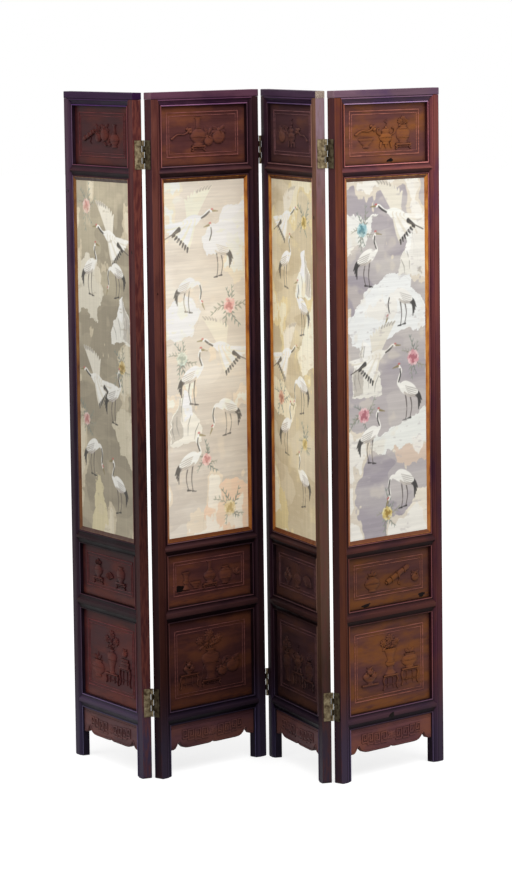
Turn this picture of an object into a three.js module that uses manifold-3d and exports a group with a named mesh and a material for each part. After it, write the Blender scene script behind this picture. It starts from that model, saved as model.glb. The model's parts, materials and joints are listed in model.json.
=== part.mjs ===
// A four-leaf folding screen in hardwood: each leaf is a grooved frame of two stiles and five rails
// that holds three boards, a scalloped apron and a silk painting on its board. Three pairs of brass
// butt hinges join the leaves, with their pins behind, in front and behind in turn.
// Millimetres, +Z up, the fronts facing -Y. The origin is the middle of the space that it stands on.
import * as THREE from 'three';
import { mergeVertices } from 'three/addons/utils/BufferGeometryUtils.js';
import Module from 'manifold-3d';

const wasm = await Module();
wasm.setup();

// Driving dimensions of one leaf
const leafWidth = 420;
const leafHeight = 1830;
const leafDepth = 26;
const stileWidth = 43;
const clearance = 0.3;

// Underside and top of each rail
const rails = {
  top: [1792, leafHeight],
  upper: [1601, 1634],
  waist: [595, 632],
  lower: [414, 456],
  bottom: [138, 177],
};

// Moulding along each opening: across the frame from the opening's edge, and below the face
const filletAndCove = [[0, 4.6], [1, 3.2], [3, 3.2], [4, 4.6], [9, 4], [13, 2.2], [14.5, 1]];
const bead = [[15.6, 0], [18.4, 0], [19.5, 1], [20.4, 0]];
const coveWidth = 14.5;
const coveStep = 0.6;
const beadedWidth = 19.5;
const arris = 1.2;

// Joinery
const tenonThickness = 10;
const tenonLength = 20;
const tenonInset = 6;
const tenonShoulder = 2;
const grooveDepth = 7.3;
const tongueLength = 7;
const tongueThickness = 4.5;
const boardRecess = 12.5;
const boardBack = 19;

// The painting's board and the slip around it, which slopes down to the silk from a narrow rim
const paintingRecess = 8.9;
const slipWidth = 10;
const slipRim = 1;
const slipFront = 4.7;

// Apron: its lower edge as distances in from the stile and heights above the floor, up to the middle
const apronThickness = 10;
const apronRecess = 8;
const apronTongueLow = 93;
const apronEdge = [
  [0.3, 70], [14, 70.5], [21, 73], [26.5, 80], [30.5, 86.5], [34.5, 88], [38.5, 85], [43, 79],
  [51, 73], [61, 70], [74, 69], [151, 69], [161, 70],
];
const apronCentreNotch = 73.5;

// Foot
const footRadius = 6;
const footSteps = 3;

// Hinges
const hingeLength = 76;
const hingeBottoms = { lower: 168, upper: 1629 };
const leafGap = 6.4;
const pinStandOff = 2;
const plateWidth = 22;
const plateThickness = 1.7;
const knuckleRadius = 3.1;
const knuckleCount = 5;
const pinRadius = 1.5;
const pinClearance = 0.35;
const plateCutBack = 1.9;
const roundSides = 12;

// How it stands: the first leaf's turn, then each fold away from flat, in degrees
const firstLeafTurn = -61.8;
const folds = [109.7, -118.3, 117.5];

const hardwood = new THREE.MeshStandardMaterial({ color: '#4e2a2c', roughness: 0.42, metalness: 0 });
const carvedWood = new THREE.MeshStandardMaterial({ color: '#6f4028', roughness: 0.5, metalness: 0 });
const paintedSilk = new THREE.MeshStandardMaterial({ color: '#c9bfae', roughness: 0.85, metalness: 0 });
const agedBrass = new THREE.MeshStandardMaterial({ color: '#8a7645', roughness: 0.4, metalness: 1 });

// A closed geometry as a solid that can be joined and cut
function solidOf(geometry) {
  geometry.deleteAttribute('normal');
  geometry.deleteAttribute('uv');
  const merged = mergeVertices(geometry, 1e-4);
  const mesh = new wasm.Mesh({
    numProp: 3,
    vertProperties: merged.attributes.position.array,
    triVerts: new Uint32Array(merged.index.array),
  });
  return new wasm.Manifold(mesh);
}

function pieceOf(solid, name, material) {
  const mesh = solid.getMesh();
  const geometry = new THREE.BufferGeometry();
  geometry.setAttribute('position', new THREE.BufferAttribute(mesh.vertProperties, 3));
  geometry.setIndex(new THREE.BufferAttribute(mesh.triVerts, 1));
  geometry.computeVertexNormals();
  const piece = new THREE.Mesh(geometry, material);
  piece.name = name;
  return piece;
}

function block([x0, x1], [y0, y1], [z0, z1]) {
  const geometry = new THREE.BoxGeometry(x1 - x0, y1 - y0, z1 - z0);
  geometry.translate((x0 + x1) / 2, (y0 + y1) / 2, (z0 + z1) / 2);
  return solidOf(geometry);
}

function outlineOf(points) {
  return new THREE.Shape(points.map(([a, b]) => new THREE.Vector2(a, b)));
}

function extrudeOutline(points, length) {
  return new THREE.ExtrudeGeometry(outlineOf(points), { depth: length, bevelEnabled: false });
}

// An outline in (x, y), carried up from z0 to z1
function alongZ(points, [z0, z1]) {
  return solidOf(extrudeOutline(points, z1 - z0).translate(0, 0, z0));
}

// An outline in (x, z), carried back from y0 to y1
function alongY(points, [y0, y1]) {
  return solidOf(extrudeOutline(points, y1 - y0).rotateX(Math.PI / 2).translate(0, y1, 0));
}

// An outline in (y, z), carried across from x0 to x1
function alongX(points, [x0, x1]) {
  const turn = new THREE.Matrix4().makeBasis(
    new THREE.Vector3(0, 1, 0),
    new THREE.Vector3(0, 0, 1),
    new THREE.Vector3(1, 0, 0),
  );
  return solidOf(extrudeOutline(points, x1 - x0).applyMatrix4(turn).translate(x0, 0, 0));
}

function upright(radius, [z0, z1]) {
  const geometry = new THREE.CylinderGeometry(radius, radius, z1 - z0, roundSides);
  geometry.rotateX(Math.PI / 2).translate(0, 0, (z0 + z1) / 2);
  return solidOf(geometry);
}

function joined(solids) {
  return solids.reduce((whole, next) => whole.add(next));
}

const middle = leafDepth / 2;
const boardMiddle = (boardRecess + boardBack) / 2;

function around(centre, thickness) {
  return [centre - thickness / 2, centre + thickness / 2];
}

function widened([low, high], by) {
  return [low - by, high + by];
}

// The same moulding on the front and on the back of a frame piece
function frontAndBack(front) {
  const back = front.map(([across, depth]) => [across, leafDepth - depth]).reverse();
  return [...front, ...back];
}

// What a rail covers of its frame, seen from the front, with mitres of the width given
function railFace([z0, z1], mitre, grow) {
  const shoulder = stileWidth - mitre - grow;
  const side = [
    [stileWidth, z1 + grow],
    [shoulder, z1 + grow - mitre - grow],
    [shoulder, z0 - grow + mitre + grow],
    [stileWidth, z0 - grow],
  ];
  const other = side.map(([x, z]) => [leafWidth - x, z]).reverse();
  return [...side, ...other];
}

// The top rail lies on the stiles, and only its lower moulding is mitred
function topRailFace(grow) {
  const [z0, z1] = rails.top;
  const side = [
    [-grow, z1 + grow],
    [-grow, z0 + beadedWidth - grow],
    [stileWidth - beadedWidth - grow, z0 + beadedWidth - grow],
    [stileWidth, z0 - grow],
  ];
  const other = side.map(([x, z]) => [leafWidth - x, z]).reverse();
  return [...side, ...other];
}

const openingAcross = [stileWidth, leafWidth - stileWidth];
const wholeDepth = widened([0, leafDepth], 1);
const tenonDepth = around(middle, tenonThickness);
const tongueDepth = around(boardMiddle, tongueThickness);
const groove = widened(tongueDepth, clearance);
const sideRails = [rails.upper, rails.waist, rails.lower, rails.bottom];
const tenonStart = stileWidth - coveWidth - tenonLength;
const stileTenon = [tenonStart, stileWidth - beadedWidth - tenonShoulder];
const stileTenonTop = leafHeight - tenonInset;

function tenonHeight([z0, z1]) {
  return [z0 + tenonInset, z1 - tenonInset];
}

// Openings between the rails, from the top down, and the apron's under the bottom rail
const openings = {
  top_panel: [rails.upper[1], rails.top[0]],
  painting: [rails.waist[1], rails.upper[0]],
  waist_panel: [rails.lower[1], rails.waist[0]],
  lower_panel: [rails.bottom[1], rails.lower[0]],
};

function leftStile() {
  const mouldedFront = [...filletAndCove, ...bead].map(([t, h]) => [stileWidth - t, h]);
  const front = [[0, arris], [arris, 0], ...mouldedFront.reverse()];
  const shoulderTop = rails.top[0] + beadedWidth;
  let stile = alongZ(frontAndBack(front), [0, leafHeight]);
  stile = stile.subtract(alongY(topRailFace(clearance), wholeDepth));
  stile = stile.add(block(stileTenon, tenonDepth, [shoulderTop - tenonInset, stileTenonTop]));
  const mortiseDepth = widened(tenonDepth, clearance);
  const grooveAcross = [stileWidth - grooveDepth, stileWidth + 1];
  for (const rail of sideRails) {
    stile = stile.subtract(alongY(railFace(rail, coveWidth, clearance), wholeDepth));
    const mortise = widened(tenonHeight(rail), clearance);
    stile = stile.subtract(block([tenonStart - clearance, stileWidth + 1], mortiseDepth, mortise));
  }
  for (const span of Object.values(openings)) {
    stile = stile.subtract(block(grooveAcross, groove, widened(span, grooveDepth)));
  }
  const apronGroove = [apronTongueLow - clearance, rails.bottom[0] + grooveDepth];
  stile = stile.subtract(block(grooveAcross, groove, apronGroove));
  return stile.intersect(roundedFoot());
}

// Keeps the stile's whole height, with its two lower corners rounded
function roundedFoot() {
  const right = [];
  for (let step = 0; step <= footSteps; step += 1) {
    const angle = (Math.PI / 2) * (step / footSteps);
    const inward = footRadius * (1 - Math.sin(angle));
    right.push([stileWidth - inward, footRadius * (1 - Math.cos(angle))]);
  }
  const left = right.map(([x, z]) => [stileWidth - x, z]).reverse();
  return alongY([...left, ...right, [stileWidth, leafHeight], [0, leafHeight]], wholeDepth);
}

function mirrored(solid) {
  return solid.mirror([1, 0, 0]).translate([leafWidth, 0, 0]);
}

function railGrooves(solid, [z0, z1], inTop) {
  const across = [stileWidth - grooveDepth, leafWidth - stileWidth + grooveDepth];
  const below = solid.subtract(block(across, groove, [z0 - 1, z0 + grooveDepth]));
  return inTop ? below.subtract(block(across, groove, [z1 - grooveDepth, z1 + 1])) : below;
}

function sideRail(rail) {
  const [z0, z1] = rail;
  const lowerHalf = filletAndCove.map(([t, h]) => [h, z0 + t]);
  const upperHalf = filletAndCove.map(([t, h]) => [h, z1 - t]).reverse();
  const flat = [[0, z0 + coveWidth + coveStep], [0, z1 - coveWidth - coveStep]];
  const front = [...lowerHalf, ...flat, ...upperHalf];
  const back = front.map(([y, z]) => [leafDepth - y, z]).reverse();
  const length = [0, leafWidth];
  let solid = alongX([...front, ...back], length);
  solid = solid.intersect(alongY(railFace(rail, coveWidth, 0), wholeDepth));
  solid = solid.add(block([tenonStart, leafWidth - tenonStart], tenonDepth, tenonHeight(rail)));
  return railGrooves(solid, rail, true);
}

function topRail() {
  const [z0, z1] = rails.top;
  const front = [...filletAndCove, ...bead].map(([t, h]) => [h, z0 + t]);
  const crown = [[0, z1 - arris], [arris, z1]];
  const half = [...front, ...crown];
  const back = half.map(([y, z]) => [leafDepth - y, z]).reverse();
  let solid = alongX([...half, ...back], [0, leafWidth]);
  solid = solid.intersect(alongY(topRailFace(0), wholeDepth));
  const mortise = block(
    widened(stileTenon, clearance),
    widened(tenonDepth, clearance),
    [z0 + beadedWidth - 1, stileTenonTop + clearance],
  );
  solid = solid.subtract(mortise).subtract(mirrored(mortise));
  return railGrooves(solid, rails.top, false);
}

// A board whose tongue stands in the frame's grooves on all four sides
function board(span, recess) {
  const depth = [recess, boardBack];
  const face = block(widened(openingAcross, -clearance), depth, widened(span, -clearance));
  const tongueAcross = widened(openingAcross, tongueLength);
  return face.add(block(tongueAcross, tongueDepth, widened(span, tongueLength)));
}

// The painting's board, hollowed to the silk so that the slip is left around it
function paintingBoard(span) {
  const slope = (slipWidth - slipRim) / (paintingRecess - slipFront);
  const hollow = [];
  for (const depth of [slipFront - 1, paintingRecess]) {
    const inset = clearance + slipRim + (depth - slipFront) * slope;
    for (const x of widened(openingAcross, -inset)) {
      for (const z of widened(span, -inset)) {
        hollow.push([x, depth, z]);
      }
    }
  }
  return board(span, slipFront).subtract(wasm.Manifold.hull(hollow));
}

// Scalloped along its lower edge: a pointed notch near each end and a shallow one in the middle
function apron() {
  const top = rails.bottom[0] - clearance;
  const edge = apronEdge.map(([inset, z]) => [stileWidth + inset, z]);
  const left = [[stileWidth + clearance, top], ...edge];
  const right = left.map(([x, z]) => [leafWidth - x, z]).reverse();
  const outline = [...left, [leafWidth / 2, apronCentreNotch], ...right];
  const face = alongY(outline, [apronRecess, apronRecess + apronThickness]);
  const across = widened(openingAcross, tongueLength);
  const tongueHeight = [apronTongueLow, rails.bottom[0] + tongueLength];
  return face.add(block(across, tongueDepth, tongueHeight));
}

// Half of a butt hinge, about its pin: the plate lies at the side given, towards -Y
function hingeHalf(side, ownKnuckles, carriesPin) {
  const step = hingeLength / knuckleCount;
  const outer = leafGap / 2 - clearance;
  const inner = outer - plateThickness;
  const across = side < 0 ? [-outer, -inner] : [inner, outer];
  const root = -pinStandOff - plateCutBack;
  const parts = [block(across, [-pinStandOff - plateWidth, root], [0, hingeLength])];
  for (const index of ownKnuckles) {
    const low = index === 0 ? 0 : index * step + clearance / 2;
    const high = index === knuckleCount - 1 ? hingeLength : (index + 1) * step - clearance / 2;
    parts.push(block(across, [root - 1, 0], [low, high]));
    parts.push(upright(knuckleRadius, [low, high]));
  }
  if (carriesPin) {
    return joined([...parts, upright(pinRadius, [0, hingeLength])]);
  }
  return joined(parts).subtract(upright(pinRadius + pinClearance, [-1, hingeLength + 1]));
}

const shapes = {
  left_stile: leftStile(),
  right_stile: mirrored(leftStile()),
  top_rail: topRail(),
  upper_rail: sideRail(rails.upper),
  waist_rail: sideRail(rails.waist),
  lower_rail: sideRail(rails.lower),
  bottom_rail: sideRail(rails.bottom),
};
const boards = {
  top_panel: board(openings.top_panel, boardRecess),
  waist_panel: board(openings.waist_panel, boardRecess),
  lower_panel: board(openings.lower_panel, boardRecess),
  apron: apron(),
};
const painting = paintingBoard(openings.painting);
const pinHalf = hingeHalf(-1, [0, 2, 4], true);
const plainHalf = hingeHalf(1, [1, 3], false);

function leafOf(number) {
  const leaf = new THREE.Group();
  for (const [name, solid] of Object.entries(shapes)) {
    leaf.add(pieceOf(solid, `leaf_${number}_${name}`, hardwood));
  }
  for (const [name, solid] of Object.entries(boards)) {
    leaf.add(pieceOf(solid, `leaf_${number}_${name}`, carvedWood));
  }
  leaf.add(pieceOf(painting, `leaf_${number}_painting`, paintedSilk));
  return leaf;
}

// Where a joint's pin stands, measured in the leaf on its left; behind the leaves or in front
function pinDepth(behind) {
  return behind ? leafDepth + pinStandOff : -pinStandOff;
}

// The two halves of each hinge at one joint. A hinge in front is one behind, turned half round.
function addHinges(joint, nextLeaf, leaf, behind) {
  const left = joint + 1;
  const right = joint + 2;
  for (const [place, bottom] of Object.entries(hingeBottoms)) {
    const name = `hinge_${left}${right}_${place}`;
    const pinned = pieceOf(pinHalf, `${name}_pin_plate`, agedBrass);
    const plain = pieceOf(plainHalf, `${name}_plate`, agedBrass);
    const onLeft = behind ? pinned : plain;
    const onRight = behind ? plain : pinned;
    onLeft.position.set(leafWidth + leafGap / 2, pinDepth(behind), bottom);
    onRight.position.set(-leafGap / 2, pinDepth(behind), bottom);
    onLeft.rotation.z = behind ? 0 : Math.PI;
    onRight.rotation.z = behind ? 0 : Math.PI;
    leaf.add(onLeft);
    nextLeaf.add(onRight);
  }
}

const screen = new THREE.Group();
const firstLeaf = leafOf(1);
firstLeaf.rotation.z = THREE.MathUtils.degToRad(firstLeafTurn);
screen.add(firstLeaf);

let leaf = firstLeaf;
folds.forEach((fold, joint) => {
  const behind = joint % 2 === 0;
  const pin = new THREE.Group();
  pin.position.set(leafWidth + leafGap / 2, pinDepth(behind), 0);
  pin.rotation.z = THREE.MathUtils.degToRad(fold);
  const nextLeaf = leafOf(joint + 2);
  nextLeaf.position.set(leafGap / 2, -pinDepth(behind), 0);
  addHinges(joint, nextLeaf, leaf, behind);
  pin.add(nextLeaf);
  leaf.add(pin);
  leaf = nextLeaf;
});

const group = new THREE.Group();
group.add(screen);
const space = new THREE.Box3().setFromObject(screen, true);
const centre = space.getCenter(new THREE.Vector3());
screen.position.set(-centre.x, -centre.y, -space.min.z);

export default group;
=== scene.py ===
# A four-leaf folding screen: hardwood frames, carved boards, painted silk and brass butt hinges.
import json
import math

import bmesh
import bpy
import numpy as np
from mathutils import Matrix, Vector

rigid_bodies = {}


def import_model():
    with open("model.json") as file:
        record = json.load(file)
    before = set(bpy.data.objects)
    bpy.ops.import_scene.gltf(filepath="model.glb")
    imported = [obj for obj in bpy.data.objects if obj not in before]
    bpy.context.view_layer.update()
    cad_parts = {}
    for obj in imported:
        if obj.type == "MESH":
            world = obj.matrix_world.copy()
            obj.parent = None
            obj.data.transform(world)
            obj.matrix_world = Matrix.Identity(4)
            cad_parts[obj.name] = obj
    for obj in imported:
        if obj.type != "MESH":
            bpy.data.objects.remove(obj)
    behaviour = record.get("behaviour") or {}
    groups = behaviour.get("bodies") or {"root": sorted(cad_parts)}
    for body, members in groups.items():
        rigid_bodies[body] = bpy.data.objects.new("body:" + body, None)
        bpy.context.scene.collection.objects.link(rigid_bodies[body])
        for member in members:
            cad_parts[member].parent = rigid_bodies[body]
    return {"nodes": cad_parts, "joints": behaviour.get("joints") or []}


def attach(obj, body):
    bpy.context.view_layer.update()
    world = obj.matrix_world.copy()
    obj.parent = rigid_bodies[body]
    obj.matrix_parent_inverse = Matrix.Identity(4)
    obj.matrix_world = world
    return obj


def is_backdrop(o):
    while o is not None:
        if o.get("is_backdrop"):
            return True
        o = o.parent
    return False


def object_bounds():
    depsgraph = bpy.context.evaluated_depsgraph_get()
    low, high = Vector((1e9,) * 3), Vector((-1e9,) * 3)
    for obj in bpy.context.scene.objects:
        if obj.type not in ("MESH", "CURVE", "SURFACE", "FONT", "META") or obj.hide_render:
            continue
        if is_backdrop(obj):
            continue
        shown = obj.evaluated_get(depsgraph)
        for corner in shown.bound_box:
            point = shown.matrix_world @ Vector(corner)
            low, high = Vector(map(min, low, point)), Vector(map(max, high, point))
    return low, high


for old in list(bpy.data.objects):
    bpy.data.objects.remove(old)
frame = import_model()
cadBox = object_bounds()
scene = bpy.context.scene
scene.view_settings.view_transform = "Standard"
print("frame loaded:", len(frame["nodes"]), "nodes")

# The camera stands where the photograph's did, 10 m away and a little above the screen's top.
camera = {
    "place": (0.0049, -9.9719, 2.0119),
    "lens": 152.948,
    "down": 6.388,  # degrees
    "roll": -0.7635,
}
cameraData = bpy.data.cameras.new("camera")
cameraData.lens = camera["lens"]
cameraData.clip_end = 100
cameraObject = bpy.data.objects.new("camera", cameraData)
tilt = Matrix.Rotation(math.radians(90 - camera["down"]), 4, "X")
roll = Matrix.Rotation(math.radians(camera["roll"]), 4, "Z")
cameraObject.matrix_world = Matrix.Translation(camera["place"]) @ tilt @ roll
scene.collection.objects.link(cameraObject)
scene.camera = cameraObject

# A leaf's own millimetres: x from its left edge, y back from its front, z up from the floor.
leafSizes = {
    "width": 420,
    "depth": 26,
    "height": 1830,
    "middle": 210,
    "openingSide": 167,  # from the middle to the opening's sides
    "gap": 6.4,  # between two leaves
    "pinStandOff": 2,  # from a leaf's face to the middle of the hinge pin
    "turns": (-61.8, 47.9, -70.4, 47.1),  # degrees about +Z, leaf 1 to leaf 4
    "boardFront": 12.5,
    "apronFront": 8,
}
leafNumbers = (1, 2, 3, 4)


def placeLeaf(number):
    turn = Matrix.Rotation(math.radians(leafSizes["turns"][number - 1]), 4, "Z")
    joint = min(number, 3) - 1
    half = leafSizes["gap"] / 2
    across = leafSizes["width"] + half if number < 4 else -half
    off = leafSizes["pinStandOff"]
    back = -off if joint == 1 else leafSizes["depth"] + off
    pin = Vector(frame["joints"][joint]["pos_m"])
    origin = pin - turn @ (Vector((across, back, 0)) * 0.001)
    origin.z = 0
    return Matrix.Translation(origin) @ turn @ Matrix.Scale(0.001, 4)


leafPlaces = {number: placeLeaf(number) for number in leafNumbers}


def colour(text, level=1.0):
    parts = [int(text[k : k + 2], 16) / 255 for k in (1, 3, 5)]
    linear = [p / 12.92 if p <= 0.04045 else ((p + 0.055) / 1.055) ** 2.4 for p in parts]
    return (*[p * level for p in linear], 1.0)


# Adds a node, sets it, links what is a socket and gives back its outputs.
def addNode(tree, kind, inputs=None, stops=None, **settings):
    made = tree.nodes.new("ShaderNode" + kind)
    for name, value in settings.items():
        setattr(made, name, value)
    for name, value in (inputs or {}).items():
        if isinstance(value, bpy.types.NodeSocket):
            tree.links.new(value, made.inputs[name])
        else:
            made.inputs[name].default_value = value
    if stops:
        ramp = made.color_ramp.elements
        while len(ramp) < len(stops):
            ramp.new(1)
        for element, (position, tone) in zip(ramp, stops):
            element.position = position
            element.color = tone
    return made.outputs


def newMaterial(name):
    made = bpy.data.materials.new(name)
    made.use_nodes = True
    made.node_tree.nodes.clear()
    return made, made.node_tree


# Ends a material. The bump is its strength, its depth in metres, its pattern and, if any, its normal.
def endMaterial(tree, tone, roughness, bump, more):
    bump = dict(zip(("Strength", "Distance", "Height", "Normal"), bump))
    surface = {"Base Color": tone, "Roughness": roughness, "Normal": addNode(tree, "Bump", bump)[0]}
    shader = addNode(tree, "BsdfPrincipled", {**surface, **more})[0]
    addNode(tree, "OutputMaterial", {"Surface": shader})


# The leaf's own millimetres as a texture place, so that grain stays in its piece when it moves.
def leafCoordinates(tree, leaf):
    settings = {
        "Vector": addNode(tree, "TexCoord")["Object"],
        "Location": leafPlaces[leaf].translation,
        "Rotation": (0, 0, math.radians(leafSizes["turns"][leaf - 1])),
        "Scale": (0.001, 0.001, 0.001),
    }
    return addNode(tree, "Mapping", settings, vector_type="TEXTURE")[0]


# Noise drawn out along the grain: sizes in mm along x, y and z.
def grainNoise(tree, local, sizes, seed, detail=3.0, distortion=0.0):
    stretched = addNode(tree, "Mapping", {"Vector": local, "Scale": [1 / s for s in sizes]})[0]
    settings = {"Vector": stretched, "W": seed, "Scale": 1, "Detail": detail, "Roughness": 0.55}
    settings["Distortion"] = distortion
    return addNode(tree, "TexNoise", settings, noise_dimensions="4D")[0]


# Plain noise in the piece's own place, for small things.
def fineNoise(tree, scale, detail, roughness=0.5):
    at = addNode(tree, "TexCoord")["Object"]
    settings = {"Vector": at, "Scale": scale, "Detail": detail, "Roughness": roughness}
    return addNode(tree, "TexNoise", settings)[0]


def axes(tree, vector):
    return addNode(tree, "SeparateXYZ", {"Vector": vector})


# How far the surface faces up, from -1 to 1.
def upward(tree):
    return axes(tree, addNode(tree, "NewGeometry")["Normal"])["Z"]


def ease(tree, value, low, high, bottom=0.0, top=1.0):
    settings = {"Value": value, "From Min": low, "From Max": high, "To Min": bottom, "To Max": top}
    return addNode(tree, "MapRange", settings, interpolation_type="SMOOTHSTEP")[0]


def compute(tree, operation, first, second=0):
    return addNode(tree, "Math", {0: first, 1: second}, operation=operation)[0]


def multiply(tree, first, second):
    return compute(tree, "MULTIPLY", first, second)


def blendColours(tree, share, first, second, mode="MIX"):
    settings = {0: share, 6: first, 7: second}
    return addNode(tree, "Mix", settings, data_type="RGBA", blend_type=mode)[2]


def tint(tree, share, tone, text, level=1.0):
    return blendColours(tree, share, tone, colour(text, level))


def scaleColour(tree, tone, level):
    return blendColours(tree, 1.0, tone, level, "MULTIPLY")


# Colours along a value: each stop is a position, a hex and, unless it is 1, a level.
def ramp(tree, value, *stops):
    stops = [(at, colour(*tone)) for at, *tone in stops]
    return addNode(tree, "ValToRGB", {"Fac": value}, stops=stops)[0]


# How much darkening lies in hollows, seen as far as reach in metres: none where the shading is
# bright, the most where it is dim. On the brass it is tarnish; on the wood it is painted shade
# with some dust, and on the slip painted shade.
def hollows(tree, reach, bright, dim, most):
    shading = addNode(tree, "AmbientOcclusion", {"Distance": reach}, samples=8)["AO"]
    return ease(tree, shading, bright, dim, 0, most)


# Jichimu or a like rosewood, planed, stained with a purple-brown lacquer and waxed for a
# century: broad quiet streaks, a soft gloss, painted shade in the coves, redder rubbed edges and
# mouldings whose thin fillets are worn pale and carry a painted highlight. Painted light makes it paler
# near the top.
wood = {
    "figure": (17, 320),  # mm across and along the grain
    "streaks": (2.6, 120),  # the real pores are 0.3 mm wide, drawn wider so that they show
    "cloud": (48, 144),
    "ragged": (6, 40),
    "bands": ((0.3, 0.66), (0.46, 0.95), (0.56, 1.05), (0.72, 1.3)),  # of the body colour
    "roughness": (0.32, 0.5),
    "undersideShade": 0.3,  # painted shade: the share of the colour on faces that look down
    "edgeSoftness": 0.0009,
    "footTone": "#4C435D",
    "edgeTone": "#7A4438",
    "endGrain": ("#5E4A48", "#9C8C7E", "#C4B6A6"),
    "bareEnds": {1: 0, 2: 0.12, 3: 0.95, 4: 0.12},  # how much of the end grain shows
    "bareSide": "#86707A",
    "bareHeights": (1420, 1760),  # mm, from dirty to bare
    # painted shade on the sides that face the left
    "shadedSide": "#2A1C26",
    "shadedSides": {1: 0.2, 2: 0.75, 3: 0.2, 4: 0.75},
}

# How bright each leaf's wood is at these heights, next to its top: painted light, brightest at the top.
paintedLightHeights = (40, 200, 320, 520, 850, 1450)  # mm
paintedLightByHeight = {
    1: {
        "left_stile": (0.36, 0.4, 0.4, 0.36, 0.36, 1.0),
        "right_stile": (0.36, 0.52, 0.54, 0.38, 0.28, 1.0),
        "rail": (0.85, 0.66, 0.56, 0.34, 0.34, 1.0),
        "panel": (0.95, 0.95, 0.95, 0.72, 0.52, 1.0),
    },
    2: {
        "left_stile": (0.25, 0.16, 0.18, 0.3, 0.38, 1.0),
        "right_stile": (0.36, 0.32, 0.36, 0.5, 0.5, 1.0),
        "rail": (0.3, 0.2, 0.3, 0.52, 0.52, 1.0),
        "panel": (0.36, 0.33, 0.42, 0.56, 0.5, 1.0),
    },
    3: {
        "left_stile": (0.32, 0.3, 0.38, 0.54, 0.5, 1.0),
        "right_stile": (0.25, 0.22, 0.25, 0.42, 0.52, 1.0),
        "rail": (0.25, 0.17, 0.18, 0.4, 0.5, 1.0),
        "panel": (0.32, 0.34, 0.46, 0.58, 0.5, 1.0),
    },
    4: {
        "left_stile": (0.42, 0.4, 0.46, 0.42, 0.42, 1.0),
        "right_stile": (0.33, 0.38, 0.43, 0.38, 0.34, 1.0),
        "rail": (0.34, 0.32, 0.22, 0.3, 0.3, 1.0),
        "panel": (0.46, 0.56, 0.62, 0.47, 0.5, 1.0),
    },
}

# How bright the frame's moulding is, by the distance from the opening's edge in mm: painted shade
# on the wall, a worn fillet with a painted highlight, a dark quirk, painted shade in the cove with a
# bluish painted reflection, then on stiles and top rails a bead with a painted highlight and its groove.
mouldingReach = 24
mouldingShadingAndWear = (
    (0, (0.3, 0.26, 0.3)), (0.7, (0.4, 0.34, 0.4)), (1.0, (3.1, 3.5, 3.9)), (3.2, (2.7, 2.9, 3.3)),
    (3.7, (0.2, 0.18, 0.26)), (5.6, (0.32, 0.3, 0.4)), (10, (0.62, 0.6, 0.74)), (14, (0.9, 0.88, 0.98)),
)
beadHighlightAndGroove = (
    (15.2, (0.55, 0.5, 0.6)), (16, (1.45, 1.4, 1.6)), (18, (1.25, 1.2, 1.3)), (18.9, (0.4, 0.36, 0.42)),
    (20.2, (0.5, 0.46, 0.5)), (21.4, (1, 1, 1)),
)

# Each piece's colour near the top of the leaf: the body of the wood, the stain that clouds it
# and, on the boards, the golden wood that shows where the lacquer is thin. Their purple, strongest
# on the top rails and on leaf 1, is a painted reflection of bluish light on the lacquer.
woodColours = {
    1: {
        "left_stile": ("#45303E", "#332234"),
        "right_stile": ("#502625", "#3B1A20"),
        "top_rail": ("#2D1433", "#220E2C"),
        "rail": ("#371921", "#26111C"),
        "panel": ("#3D1C1D", "#2E161B", "#562A23"),
        "apron": ("#513535", "#3D262F", "#65403B"),
    },
    2: {
        "left_stile": ("#653A33", "#482526"),
        "right_stile": ("#3F262A", "#301F2A"),
        "top_rail": ("#5F3C4D", "#462A3F"),
        "rail": ("#583838", "#3D2A30"),
        "panel": ("#593431", "#41282F", "#7B4832"),
        "apron": ("#784D51", "#543440", "#955E4E"),
    },
    3: {
        "left_stile": ("#40282E", "#2A1A26"),
        "right_stile": ("#725241", "#5B3A35"),
        "top_rail": ("#412E41", "#302137"),
        "rail": ("#5A3B37", "#3E2C2F"),
        "panel": ("#4A3132", "#392730", "#634033"),
        "apron": ("#825758", "#603E45", "#9A6558"),
    },
    4: {
        "left_stile": ("#6C3B29", "#572C2D"),
        "right_stile": ("#75403C", "#592F43"),
        "top_rail": ("#6B515F", "#543E5D"),
        "rail": ("#824C45", "#5D3942"),
        "panel": ("#6B4137", "#53313E", "#8B5429"),
        "apron": ("#7F4F4F", "#5F3844", "#975C48"),
    },
}
# Each leaf piece: what its colour is called, and for a frame piece or board its lowest and highest mm.
leafPieces = {
    "left_stile": ("left_stile", 0, 1830),
    "right_stile": ("right_stile", 0, 1830),
    "top_rail": ("top_rail", 1792, 1900),
    "upper_rail": ("rail", 1601, 1634),
    "waist_rail": ("rail", 595, 632),
    "lower_rail": ("rail", 414, 456),
    "bottom_rail": ("rail", 138, 177),
    "top_panel": ("panel", 1634, 1792),
    "waist_panel": ("panel", 456, 595),
    "lower_panel": ("panel", 177, 414),
    "apron": ("apron", 70, 138),
}
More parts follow.
